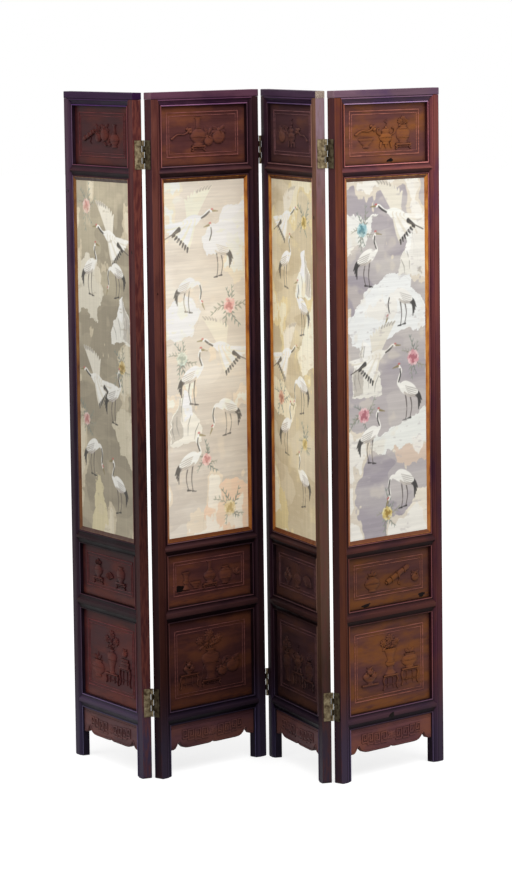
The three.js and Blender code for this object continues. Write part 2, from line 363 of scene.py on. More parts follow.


# The frame's painted shade, highlights and wear along its mouldings, and painted shade on faces
# that look down and along its rails' lower halves.
def frameTone(tree, piece, local, tone, ragged):
    at = axes(tree, local)
    kind, low, high = leafPieces[piece]
    if "stile" in piece:
        side = compute(tree, "ABSOLUTE", compute(tree, "SUBTRACT", at["X"], leafSizes["middle"]))
        inward = compute(tree, "SUBTRACT", side, leafSizes["openingSide"])
    else:
        above = compute(tree, "SUBTRACT", at["Z"], low)
        inward = compute(tree, "MINIMUM", above, compute(tree, "SUBTRACT", high, at["Z"]))
    # painted shade, highlights and a bluish reflection along the moulding, mixed with its wear
    stops = mouldingShadingAndWear + (((15.2, (1, 1, 1)),) if kind == "rail" else beadHighlightAndGroove)
    place = addNode(tree, "MapRange", {"Value": inward, "From Max": mouldingReach})[0]
    lines = [(inset / mouldingReach, (*level, 1)) for inset, level in stops]
    moulding = addNode(tree, "ValToRGB", {"Fac": place}, stops=lines)[0]
    moulding = blendColours(tree, ease(tree, ragged, 0.2, 0.6, 0.55, 1), (1, 1, 1, 1), moulding)
    # painted shade on faces that look down
    shadeFromAbove = ease(tree, upward(tree), -0.85, 0.0, wood["undersideShade"], 1)
    if kind == "rail":  # painted shade along the lower half
        shadeFromAbove = multiply(tree, shadeFromAbove, ease(tree, above, 6, (high - low) * 0.6, 0.32, 1))
    tone = scaleColour(tree, scaleColour(tree, tone, moulding), shadeFromAbove)
    if "stile" in piece:  # the outer corners have lost their lacquer
        rim = leafSizes["middle"]
        corner = multiply(tree, ease(tree, side, rim - 2.4, rim - 1), ease(tree, ragged, 0.42, 0.6))
        tone = tint(tree, multiply(tree, corner, 0.5), tone, wood["edgeTone"])
    return tone


# A leaf's narrow outer sides: painted shade where they face the left, greyed and bare towards the
# top at the right of leaf 3, and pale end grain with open pores on the top rail.
def outerSideTone(tree, leaf, piece, local, tone, ragged):
    at = axes(tree, local)
    atLeft = ease(tree, at["X"], 0.6, 0.2)
    atRight = ease(tree, at["X"], leafSizes["width"] - 0.6, leafSizes["width"] - 0.2)
    if piece == "top_rail":
        pores = grainNoise(tree, local, (1.6, 1.6, 1.6), leaf, 3)
        stops = zip((0.36, 0.5, 0.7), wood["endGrain"])
        ends = multiply(tree, compute(tree, "MAXIMUM", atRight, atLeft), wood["bareEnds"][leaf])
        return blendColours(tree, ends, tone, ramp(tree, pores, *stops))
    if piece == "left_stile":
        # painted shade on the side that faces the left, strongest on leaves 2 and 4
        return tint(tree, multiply(tree, atLeft, wood["shadedSides"][leaf]), tone, wood["shadedSide"])
    if leaf != 3:
        return tone
    high = ease(tree, at["Z"], *wood["bareHeights"], 0.1, 0.9)
    high = multiply(tree, high, ease(tree, ragged, 0.25, 0.55, 0.4, 1))
    return tint(tree, multiply(tree, atRight, high), tone, wood["bareSide"])


# Painted shade with some wax and dust darkens the carving's corners; hands polish its high parts
# down to golden wood, which carries a painted highlight too.
def carvedTone(tree, piece, local, tone, ragged, cloud, body, golden):
    at = axes(tree, local)
    low = leafPieces[piece][1]
    front = leafSizes["apronFront" if piece == "apron" else "boardFront"]
    tone = tint(tree, ease(tree, cloud, 0.46, 0.68, 0, 0.8), tone, golden)
    if piece != "apron":  # the lacquer is rubbed thin along the board's foot
        most = 0.35 if piece == "top_panel" else 0.9
        foot = ease(tree, at["Z"], low + 34, low + 6)
        foot = multiply(tree, foot, ease(tree, ragged, 0.3, 0.6, 0.1, most))
        tone = tint(tree, foot, tone, golden)
    # painted shade, with some dust, in the carving's crevices
    tone = tint(tree, hollows(tree, 0.0035, 0.85, 0.4, 0.75), tone, body, 0.28)
    # painted shade, with some dust, over the field near the frame and around the larger motifs
    tone = tint(tree, hollows(tree, 0.016, 0.97, 0.5, 0.65), tone, body, 0.36)
    # painted highlight on the high parts, with their rubbed golden wood
    proud = ease(tree, at["Y"], front - 0.8, front - 4.2, 0, 0.5)
    rubbedAndHighlit = multiply(tree, proud, ease(tree, ragged, 0.3, 0.6, 0.2, 1))
    tone = tint(tree, rubbedAndHighlit, tone, golden, 1.15)
    # painted highlight, with wear, on the raised bead lines
    line = addNode(tree, "Attribute", attribute_name="wornBeadHighlight")["Fac"]
    line = multiply(tree, line, ease(tree, ragged, 0.32, 0.62, 0.2, 0.8))
    return tint(tree, line, tone, body, 2.8)


def woodMaterial(leaf, piece):
    kind = leafPieces[piece][0]
    carved = kind in ("panel", "apron")
    body, stain, *golden = woodColours[leaf][kind]
    seed = leaf * 7.3 + list(leafPieces).index(piece) * 1.7
    made, tree = newMaterial(f"{'carvedRosewood' if carved else 'lacqueredRosewood'}_{leaf}_{piece}")
    local = leafCoordinates(tree, leaf)
    z = axes(tree, local)["Z"]

    def alongGrain(across, length, *settings):
        sizes = (across, across, length) if "stile" in piece else (length, across, across)
        return grainNoise(tree, local, sizes, *settings)

    figure = alongGrain(*wood["figure"], seed, 4, 0.4)
    streaks = alongGrain(*wood["streaks"], seed + 3, 3, 0.2)
    cloud = alongGrain(*wood["cloud"], seed + 5, 4)
    ragged = alongGrain(*wood["ragged"], seed + 9, 4)
    tone = ramp(tree, figure, *[(at, body, level) for at, level in wood["bands"]])
    tone = tint(tree, ease(tree, cloud, 0.55, 0.32, 0, 0.45 if carved else 0.75), tone, stain)
    lines = ease(tree, streaks, 0.56, 0.72, 0, 0.38)
    tone = tint(tree, lines, tone, body, 0.4)
    if carved:
        tone = carvedTone(tree, piece, local, tone, ragged, cloud, body, *golden)
    else:
        tone = tint(tree, ease(tree, z, 300, 60, 0, 0.85), tone, wood["footTone"])
        tone = frameTone(tree, piece, local, tone, ragged)
        tone = outerSideTone(tree, leaf, piece, local, tone, ragged)
    group = {"top_rail": "rail", "apron": "panel"}.get(kind, kind)
    top = leafSizes["height"]
    # painted light and shade by height, brightest at the top of the leaf
    levels = [(at / top, (level,) * 3 + (1,)) for at, level in zip(paintedLightHeights, paintedLightByHeight[leaf][group])]
    height = addNode(tree, "MapRange", {"Value": z, "From Max": top})[0]
    tone = scaleColour(tree, tone, addNode(tree, "ValToRGB", {"Fac": height}, stops=levels)[0])
    rounded = addNode(tree, "Bevel", {"Radius": wood["edgeSoftness"]}, samples=4)[0]
    bump = (0.35, 0.0004, multiply(tree, lines, -1), rounded)
    gloss = {"IOR": 1.5, "Specular IOR Level": 0.02, "Coat Weight": 0.04, "Coat Roughness": 0.25}
    endMaterial(tree, tone, ease(tree, cloud, 0.3, 0.7, *wood["roughness"]), bump, gloss)
    return made


woodMaterials = {(leaf, piece): woodMaterial(leaf, piece) for leaf in leafNumbers for piece in leafPieces}

# Cast and filed brass, long unpolished: a dull brown metal, nearly black in its corners. Its levels
# are painted light: the pin plates lit, the other plates in shade, the upper ones brighter than the lower.
brass = {
    "stops": ((0.32, "#4A3C2C"), (0.52, "#85765C"), (0.78, "#B8AA8A")),  # tarnish, body, rubbed
    "spots": 9,  # mm
    # painted light: the pin plates lit, the other plates in shade
    "levels": {"upper_pin_plate": 0.95, "upper_plate": 0.3, "lower_pin_plate": 0.62, "lower_plate": 0.2},
}


def brassMaterial(name, level):
    made, tree = newMaterial(name)
    patches = fineNoise(tree, 1000 / brass["spots"], 3)
    tone = ramp(tree, patches, *[(*stop, level) for stop in brass["stops"]])
    tarnish = brass["stops"][0][1]
    tone = tint(tree, hollows(tree, 0.004, 0.9, 0.3, 0.9), tone, tarnish, 0.3 * level)
    bump = (0.25, 0.0003, fineNoise(tree, 700, 2))
    endMaterial(tree, tone, ease(tree, patches, 0.3, 0.7, 0.4, 0.62), bump, {"Metallic": 1})
    return made


# Softwood moulding under bole and old gilding: an orange-brown band, rubbed to the bole, with
# painted shade where it lies level and in its hollows, and darker towards the foot of the painting.
slip = {
    "bole": "#7A3E1C",
    "gilt": "#B4702C",
    "bright": "#CE9448",
    "slipShade": "#43200F",
    # painted shade: leaf 1's slip is much darker than the others
    "levels": {1: 0.34, 2: 0.9, 3: 0.95, 4: 1.0},
    "section": ((0, 9.3), (0, 4.5), (0.5, 4.1), (1.7, 4.1), (2.3, 4.6), (5.5, 6.1), (8.6, 7.55),
                (10.2, 8.4), (10.2, 9.3)),
}


def slipMaterial(leaf):
    made, tree = newMaterial(f"giltSlip_{leaf}")
    local = leafCoordinates(tree, leaf)
    rubbing = grainNoise(tree, local, (14, 14, 46), leaf * 1.3, 4)
    tone = ramp(tree, rubbing, (0.32, slip["bole"]), (0.5, slip["gilt"]), (0.76, slip["bright"]))
    level = compute(tree, "ABSOLUTE", upward(tree))
    # painted shade on the strips that lie level, top and bottom
    tone = tint(tree, ease(tree, level, 0.1, 0.4, 0, 0.92), tone, slip["slipShade"])
    tone = tint(tree, ease(tree, axes(tree, local)["Z"], 1300, 700, 0, 0.55), tone, slip["bole"], 0.8)
    # painted shade in the hollows
    tone = tint(tree, hollows(tree, 0.005, 0.8, 0.3, 0.7), tone, slip["slipShade"], 0.6)
    # painted shade, darkest on leaf 1
    tone = scaleColour(tree, tone, (slip["levels"][leaf],) * 3 + (1,))
    gloss = {"Metallic": 0.1, "Specular IOR Level": 0.25}
    endMaterial(tree, tone, ease(tree, rubbing, 0.3, 0.7, 0.55, 0.4), (0.2, 0.0004, rubbing), gloss)
    return made


# Fine painted silk, pasted down: matt colours, with its threads just showing across the paint.
silk = {
    "threads": 1.5,  # mm; the real 0.15 mm would not show
    "ribs": 8,  # mm, the soft bands that old silk shows along its threads
    "roughness": 0.78,
    "step": 1.7,  # mm between the sheet's points
    "left": 53.35,
    "right": 366.65,
    "bottom": 642.35,
    "top": 1590.65,
    "front": 8.5,
    "seed": 41,
}


def silkMaterial(leaf):
    made, tree = newMaterial(f"paintedSilk_{leaf}")
    local = leafCoordinates(tree, leaf)
    paint = addNode(tree, "Attribute", attribute_name="paint")["Color"]
    warp = {"Vector": local, "Scale": math.tau / 20 / silk["threads"], "Distortion": 0.4}
    threads = [addNode(tree, "TexWave", warp, bands_direction=axis)[1] for axis in "XZ"]
    weave = compute(tree, "ADD", *threads)
    long = (900, 50, silk["ribs"]) if leaf in (2, 4) else (silk["ribs"], 50, 900)
    ribs = grainNoise(tree, local, long, leaf * 3.1, 2)
    slubs = grainNoise(tree, local, (60, 50, 2.2), leaf * 5.3, 2)
    dim = ease(tree, weave, 0.2, 1.8, 0.94, 1.02)
    dim = multiply(tree, dim, ease(tree, ribs, 0.3, 0.7, 0.94, 1.04))
    dim = multiply(tree, dim, ease(tree, slubs, 0.35, 0.75, 0.96, 1.02))
    gloss = {"Specular IOR Level": 0.2, "Sheen Weight": 0.05}
    endMaterial(tree, scaleColour(tree, paint, dim), silk["roughness"], (0.15, 0.0003, weave), gloss)
    return made


# Mulberry paper pasted over the back of the painting's board: tan, blotched, with long fibres.
def paperMaterial(leaf):
    made, tree = newMaterial(f"agedBackingPaper_{leaf}")
    local = leafCoordinates(tree, leaf)
    blotches = grainNoise(tree, local, (120, 120, 120), leaf * 2.7, 6)
    fibres = grainNoise(tree, local, (1.4, 1.4, 26), leaf * 4.1, 3, 1.2)
    tone = ramp(tree, blotches, (0.34, "#7A6444"), (0.5, "#A08C68"), (0.66, "#B8A784"))
    tone = tint(tree, ease(tree, fibres, 0.55, 0.75, 0, 0.25), tone, "#CDBE9C")
    endMaterial(tree, tone, 0.85, (0.3, 0.0003, fibres), {"Specular IOR Level": 0.15})
    return made


# Black wax and pitch in old nail holes and knots: nearly black, a little glossy.
def waxMaterial():
    made, tree = newMaterial("blackWax")
    lumps = fineNoise(tree, 700, 4)
    tone = ramp(tree, lumps, (0.35, "#060404"), (0.7, "#180E0C"))
    roughness = ease(tree, lumps, 0.3, 0.7, 0.4, 0.65)
    endMaterial(tree, tone, roughness, (0.4, 0.0004, lumps), {"Specular IOR Level": 0.05})
    return made


brassMaterials = {
    kind: brassMaterial("agedBrass_" + kind, level) for kind, level in brass["levels"].items()
}
blackWax = waxMaterial()
slipMaterials = {leaf: slipMaterial(leaf) for leaf in leafNumbers}
silkMaterials = {leaf: silkMaterial(leaf) for leaf in leafNumbers}
paperMaterials = {leaf: paperMaterial(leaf) for leaf in leafNumbers}

for name, node in frame["nodes"].items():
    if name.startswith("hinge"):
        finish = brassMaterials[name[len("hinge_12_"):]]
    else:
        leaf, piece = int(name[len("leaf_")]), name[len("leaf_1_"):]
        finish = paperMaterials[leaf] if piece == "painting" else woodMaterials[leaf, piece]
    node.data.materials.clear()
    node.data.materials.append(finish)
print("materials made")


# Shapes are made flat on a board: x across, z up, and -y for the height above it.
def addRings(shape, rings, closed=False):
    made = [[shape.verts.new(point) for point in ring] for ring in rings]
    after = made[1:] + made[:1] if closed else made[1:]
    for low, high in zip(made, after):
        for k in range(len(low)):
            j = (k + 1) % len(low)
            shape.faces.new((low[k], low[j], high[j], high[k]))
    if not closed:
        shape.faces.new(made[0][::-1])
        shape.faces.new(made[-1])


def moveNew(shape, start, matrix):
    shape.verts.ensure_lookup_table()
    bmesh.ops.transform(shape, matrix=matrix, verts=shape.verts[start:])


# Moves what a maker adds to where it belongs: x and z in mm, a turn in degrees, flip is -1 or 1.
def put(shape, maker, x, z, *sizes, turn=0, flip=1, back=0, **more):
    start = len(shape.verts)
    maker(shape, *sizes, **more)
    spin = Matrix.Rotation(math.radians(-turn), 4, "Y")
    moveNew(shape, start, Matrix.Translation((x, back, z)) @ spin @ Matrix.Diagonal((flip, 1, 1, 1)))


def polar(reach, degrees):
    angle = math.radians(degrees)
    return math.cos(angle) * reach, math.sin(angle) * reach


# A curve through the points, with so many steps between each two.
def curveThrough(points, steps=5):
    points = [np.array(p, float) for p in points]
    found = []
    for a, b, c, d in zip(points[:1] + points, points, points[1:], points[2:] + points[-1:]):
        for s in range(steps):
            t = s / steps
            bend = 2 * b + (c - a) * t + (2 * a - 5 * b + 4 * c - d) * t * t
            found.append(0.5 * (bend + (3 * b - a - 3 * c + d) * t**3))
    return found + points[-1:]


# The direction to the left of a path at each point, lengthened at the corners for a mitre.
def sideways(path, closed=False):
    path = [np.array(p[:2], float) for p in path]
    steps = [b - a for a, b in zip(path, path[1:] + path[:1])]
    if not closed:
        steps[-1] = steps[-2]
    found = []
    for k, after in enumerate(steps):
        before = steps[k - 1] if k > 0 or closed else after
        normals = [np.array((-s[1], s[0])) / max(np.hypot(*s), 1e-6) for s in (before, after)]
        mean = normals[0] + normals[1]
        found.append(mean * 2 / max(mean @ mean, 0.6))
    return found


def beside(point, shift, up):
    return (point[0] + shift[0], -up, point[1] + shift[1])


# A bar's section, across and up, as shares of its width and height.
flatBar = ((-0.5, -0.3), (-0.47, 0.75), (-0.32, 1), (0.32, 1), (0.47, 0.75), (0.5, -0.3))
roundBar = [(-0.5 * math.cos(math.pi * k / 6), math.sin(math.pi * k / 6) * 0.92 + 0.08) for k in range(7)]
roundBar = [(-0.5, -0.3), *roundBar, (0.5, -0.3)]


# A bar along a path, where each point may carry its own width as a third number.
def bead(shape, path, width, height, closed=False, flat=False):
    rings = []
    for point, side in zip(path, sideways(path, closed)):
        wide = point[2] if len(point) > 2 else width
        tall = height * min(1, 0.45 + 0.55 * wide / width)
        section = flatBar if flat else roundBar
        rings.append([beside(point, side * across * wide, up * tall) for across, up in section])
    addRings(shape, rings, closed)


# A curved round bar, which most stems and handles are.
def stem(shape, points, width, height, steps=4):
    bead(shape, curveThrough(points, steps), width, height)


# A low dome, an ellipse or a pointed leaf seen from the front.
def dome(shape, x, z, wide, tall, turn=0.0, height=3.0, pointed=False, sides=18):
    cosine, sine = polar(1, turn)
    rings = []
    for share, up in ((1, -0.3), (1, 0.1), (0.93, 0.45), (0.76, 0.74), (0.5, 0.93), (0.2, 1)):
        ring = []
        for k in range(sides):
            angle = math.tau * k / sides
            a = math.cos(angle) * wide * share
            b = math.sin(angle) * tall * share
            if pointed:
                b *= abs(math.sin(angle)) ** 0.7
            ring.append((x + a * cosine - b * sine, -up * height, z + a * sine + b * cosine))
        rings.append(ring)
    addRings(shape, rings)


# A raised flat shape with rounded edges.
def slab(shape, outline, height, rounding=0.8):
    area = sum(a[0] * b[1] - b[0] * a[1] for a, b in zip(outline, outline[1:] + outline[:1]))
    inward = 1 if area > 0 else -1
    sides = sideways(outline, True)
    levels = ((0, -0.3), (0, height - rounding), (rounding * 0.3, height - rounding * 0.3),
              (rounding, height))
    addRings(shape, [
        [beside(point, side * inset * inward, up) for point, side in zip(outline, sides)]
        for inset, up in levels
    ])


# Half of a turned pot, standing out of the board. The profile has (radius, height) pairs.
def turned(shape, profile, tall, deep):
    smooth = curveThrough(profile, 4)
    widest = max(p[0] for p in smooth)
    rings = []
    for radius, up in smooth:
        ring = []
        for k in range(13):
            angle = math.pi * k / 12
            out = math.sin(angle) * deep * (0.35 + 0.65 * radius / widest)
            y = -out if 0 < k < 12 else 0.4
            ring.append((math.cos(angle) * radius * tall, y, up * tall))
        rings.append(ring)
    addRings(shape, rings)


potProfiles = {
    "bottle": (
        (0.2, 0), (0.22, 0.04), (0.17, 0.09), (0.29, 0.2), (0.34, 0.34),
        (0.28, 0.48), (0.12, 0.6), (0.09, 0.8), (0.11, 0.93), (0.16, 0.97), (0.15, 1),
    ),
    "baluster": (
        (0.17, 0), (0.2, 0.03), (0.15, 0.1), (0.17, 0.3), (0.26, 0.52),
        (0.31, 0.7), (0.27, 0.82), (0.13, 0.89), (0.12, 0.93), (0.2, 0.98), (0.19, 1),
    ),
    "beaker": (
        (0.22, 0), (0.24, 0.05), (0.16, 0.14), (0.12, 0.32), (0.19, 0.38),
        (0.2, 0.48), (0.13, 0.55), (0.15, 0.7), (0.24, 0.9), (0.31, 0.98), (0.29, 1),
    ),
    "jar": (
        (0.24, 0), (0.27, 0.05), (0.25, 0.1), (0.41, 0.3), (0.47, 0.55),
        (0.4, 0.76), (0.24, 0.86), (0.23, 0.91), (0.3, 0.97), (0.28, 1),
    ),
    "pot": (
        (0.3, 0), (0.34, 0.08), (0.3, 0.14), (0.56, 0.34), (0.64, 0.56),
        (0.52, 0.78), (0.36, 0.86), (0.37, 0.92), (0.46, 0.98), (0.44, 1),
    ),
    "bowl": (
        (0.42, 0), (0.44, 0.12), (0.36, 0.2), (0.66, 0.42), (0.92, 0.76), (1.06, 0.95), (1.04, 1),
    ),
    "roll": ((0.09, 0), (0.1, 0.01), (0.1, 0.3), (0.1, 0.7), (0.1, 0.99), (0.09, 1)),
}

potBands = {
    "bottle": (0.3, 0.62), "baluster": (0.55, 0.86), "beaker": (0.36, 0.5),
    "jar": (0.32, 0.8), "pot": (0.56,), "bowl": (0.8,),
}


# A pot with thin raised bands at some of its levels.
def pot(shape, kind, tall, deep=3.8):
    turned(shape, potProfiles[kind], tall, deep)
    smooth = curveThrough(potProfiles[kind], 4)
    widest = max(p[0] for p in smooth) * tall
    for level in potBands[kind]:
        radius = min(smooth, key=lambda p: abs(p[1] - level))[0] * tall
        out = deep * (0.35 + 0.65 * radius / widest)
        rings = []
        for k in range(11):
            angle = math.pi * (0.04 + 0.92 * k / 10)
            x, y = math.cos(angle) * (radius + 0.5), -math.sin(angle) * (out + 0.5)
            ring = []
            for j in range(6):
                turn = math.tau * j / 6
                ring.append((x, y + 0.7 * math.cos(turn), level * tall + 0.8 * math.sin(turn)))
            rings.append(ring)
        addRings(shape, rings)


# A small table on bowed legs, with a fretted rail under its top.
def stand(shape, wide, tall):
    half = wide / 2
    edge = [(-half, tall - 3.6), (half, tall - 3.6), (half + 1.2, tall), (-half - 1.2, tall)]
    slab(shape, edge, 3.4, 0.7)
    bead(shape, [(-half + 2, tall - 6), (half - 2, tall - 6)], 2.2, 2.0, flat=True)
    for side in (-1, 1):
        leg = ((half - 2.5, tall - 4, 4.2), (half + 0.5, tall * 0.62, 3.6), (half - 2.5, tall * 0.3, 2.8),
               (half - 1, 2, 2.6), (half + 1.6, 0.8, 3.4))
        stem(shape, [(side * x, z, width) for x, z, width in leg], 3.6, 2.8)
        bead(shape, [(side * half * 0.35, tall - 4, 2.6), (side * half * 0.4, 3, 2.0)], 2.6, 1.8)
    bead(shape, [(-half * 0.7, tall * 0.32), (half * 0.7, tall * 0.32)], 1.8, 1.6)


def flower(shape, radius, petals=8):
    for k in range(petals):
        angle = 360 * k / petals + 11
        dome(shape, *polar(radius * 0.62, angle), radius * 0.42, radius * 0.3, angle, 2.2)
    for k in range(petals - 2):
        angle = 360 * k / (petals - 2)
        dome(shape, *polar(radius * 0.3, angle), radius * 0.26, radius * 0.22, angle, 3.1, sides=12)
    dome(shape, 0, 0, radius * 0.2, radius * 0.2, 0, 3.9, sides=12)


def leaves(shape, length, turns):
    for turn in turns:
        x, z = polar(length * 0.5, turn)
        dome(shape, x, z, length * 0.5, length * 0.24, turn, 1.9, True)
        vein = [(x * 0.1, z * 0.1, 1.0), (x, z, 1.0), (x * 1.85, z * 1.85, 0.5)]
        bead(shape, vein, 1.0, 2.5)


# Flowers on stems that fan out of a vase's mouth.
def bouquet(shape, spread, tall, radius, heads=3):
    for k in range(heads):
        share = (k / (heads - 1) - 0.5) * 2
        x = share * spread
        z = tall * (1 - 0.34 * share * share)
        stem(shape, [(share * 2, -2, 2.4), (x * 0.35, z * 0.45, 2.0), (x, z, 1.4)], 2.2, 1.8)
        put(shape, flower, x, z, radius * (1 - 0.15 * abs(share)))
        put(shape, leaves, x * 0.55, z * 0.5, radius * 1.3, (20 + 100 * (k % 2), 160 - 60 * share))
    put(shape, leaves, 0, tall * 0.25, radius * 1.3, (15, 165))


def peach(shape, radius, leafy=True):
    if leafy:
        put(shape, leaves, 0, radius * 0.8, radius * 1.25, (-12, 35, 150, 192))
    dome(shape, 0, 0, radius, radius * 0.92, 0, 4.2, sides=24)
    dome(shape, 0, radius * 0.78, radius * 0.4, radius * 0.5, 0, 3.0, True)
    cleft = ((0, 0.9, 1.6), (0.34, 0.2, 1.4), (0.1, -0.7, 1))
    stem(shape, [(radius * x, radius * z, width) for x, z, width in cleft], 1.6, 4.9)


def fruitSpray(shape, radius):
    twig = [(-radius * 2.1, -radius * 0.3, 1.6), (-radius, radius * 0.5, 2.4), (0, radius * 0.8, 2.8)]
    stem(shape, twig, 2.4, 2.0)
    put(shape, peach, 0, 0, radius)
    put(shape, peach, -radius * 1.55, -radius * 0.45, radius * 0.72, turn=24)
    put(shape, leaves, -radius * 1.6, radius * 0.4, radius * 1.2, (60, 120, 170))


def fruitDish(shape, wide):
    pot(shape, "bowl", wide * 0.36)
    for x, z in ((-0.22, 0.4), (0.22, 0.4), (0, 0.6)):
        put(shape, peach, wide * x, wide * z, wide * 0.17, leafy=x == 0)


def censer(shape, wide):
    for side in (-1, 0, 1):
        leg = [(side * wide * 0.28, wide * 0.28, 5), (side * wide * 0.34, 0.5, 3.4)]
        bead(shape, leg, 4.4, 3.0)
    put(shape, pot, 0, wide * 0.18, "pot", wide * 0.6)
    for side in (-1, 1):
        handle = ((0.3, 0.62), (0.5, 0.72), (0.5, 0.92), (0.36, 0.96))
        stem(shape, [(side * wide * x, wide * z, 2.4) for x, z in handle], 2.6, 2.4)
    dome(shape, 0, wide * 0.84, wide * 0.26, wide * 0.12, 0, 3.2)
    dome(shape, 0, wide * 0.98, wide * 0.07, wide * 0.08, 0, 3.6, sides=12)
    smoke = ((0, 1.04, 1.6), (0.1, 1.18, 1.8), (-0.06, 1.3, 1.6), (0.12, 1.4, 1.0))
    stem(shape, [(wide * x, wide * z, width) for x, z, width in smoke], 1.8, 1.5)


# A rolled scroll lies on its side, tied with a ribbon.
def scrollRoll(shape, length):
    start = len(shape.verts)
    turned(shape, potProfiles["roll"], length, 4.2)
    for end in (-0.04, 1.04):
        dome(shape, 0, length * end, length * 0.045, length * 0.07, 90, 3.0, sides=12)
    lay = Matrix.Rotation(math.radians(90), 4, "Y") @ Matrix.Translation((0, 0, -length / 2))
    moveNew(shape, start, lay)
    for at, width in ((-0.3, 1.8), (0.3, 1.8), (0, 4.0)):
        bead(shape, [(length * at, -length * 0.1), (length * at, length * 0.1)], width, 5.0, flat=True)
    tie = ((0, -0.1, 3), (0.02, -0.2, 3), (-0.1, -0.3, 3), (-0.02, -0.42, 1.6))
    stem(shape, [(length * x, length * z, width) for x, z, width in tie], 3, 1.6, 5)


def ribbon(shape, reach, drop, waves=2):
    path = []
    for k in range(waves * 2 + 1):
        share = k / (waves * 2)
        sway = reach * 0.25 * (-1 if k % 2 else 1) * (0.3 + 0.7 * share)
        path.append((reach * share + sway * 0.3, -drop * share + sway * 0.6, 3.6 - 1.8 * share))
    stem(shape, path, 3.4, 1.5, 5)


# A cloud-headed sceptre: three lobes, a bowed shaft and a small foot.
def sceptre(shape, length):
    shaft = ((-0.5, 0, 5), (-0.2, 0.12, 3.6), (0.16, 0.06, 3.6), (0.38, 0.14, 4.4))
    stem(shape, [(length * x, length * z, width) for x, z, width in shaft], 4.4, 2.8, 6)
    for x, z, size in ((0.42, 0.2, 0.1), (0.5, 0.1, 0.1), (0.34, 0.27, 0.08), (0.52, 0.22, 0.08)):
        dome(shape, length * x, length * z, length * size, length * size * 0.8, 35, 3.4)
    dome(shape, -length * 0.5, 0, length * 0.09, length * 0.06, 10, 3.2)


def books(shape, wide, tall):
    for k in range(3):
        low = tall * k / 3
        shift = (k % 2) * wide * 0.06
        half = wide * (0.5 - 0.03 * k)
        edge = [(shift - half, low), (shift + half, low)]
        edge += [(shift + half + 1, low + tall * 0.3), (shift - half + 1, low + tall * 0.3)]
        slab(shape, edge, 3.2 - 0.4 * k, 0.6)
        for line in (0.1, 0.2):
            level = low + tall * line
            bead(shape, [(shift - half + 2, level), (shift + half - 2, level)], 0.8, 3.7 - 0.4 * k)


def fan(shape, radius):
    outline = [polar(radius, 20 + 140 * k / 12) for k in range(13)]
    outline += [(-radius * 0.2, radius * 0.12), (radius * 0.2, radius * 0.12)]
    slab(shape, outline, 2.4, 0.6)
    for k in range(9):
        bead(shape, [polar(radius * r, 26 + 128 * k / 8) for r in (0.2, 0.94)], 1.1, 3.1)
    dome(shape, 0, radius * 0.1, radius * 0.13, radius * 0.13, 0, 3.6, sides=12)


# The carved fields in mm: each board's lowest and highest line, and the double line around them.
fields = {
    "top": (1657, 1774),
    "waist": (484, 575),
    "lower": (207, 388),
    "left": 71,
    "right": 349,
    "bead": (3.4, 1.6),
    "inner": (8.5, 2.2, 1.1),  # how far inside the second line runs, its width and height
    "growth": {"top": (1.6, 1.28), "waist": (1.5, 1.25), "lower": (1.5, 1.1)},  # across and up
    "depth": 1.3,
    "spread": 1.04,
    "foot": 16,  # above the field's low line, where the motifs stand
}

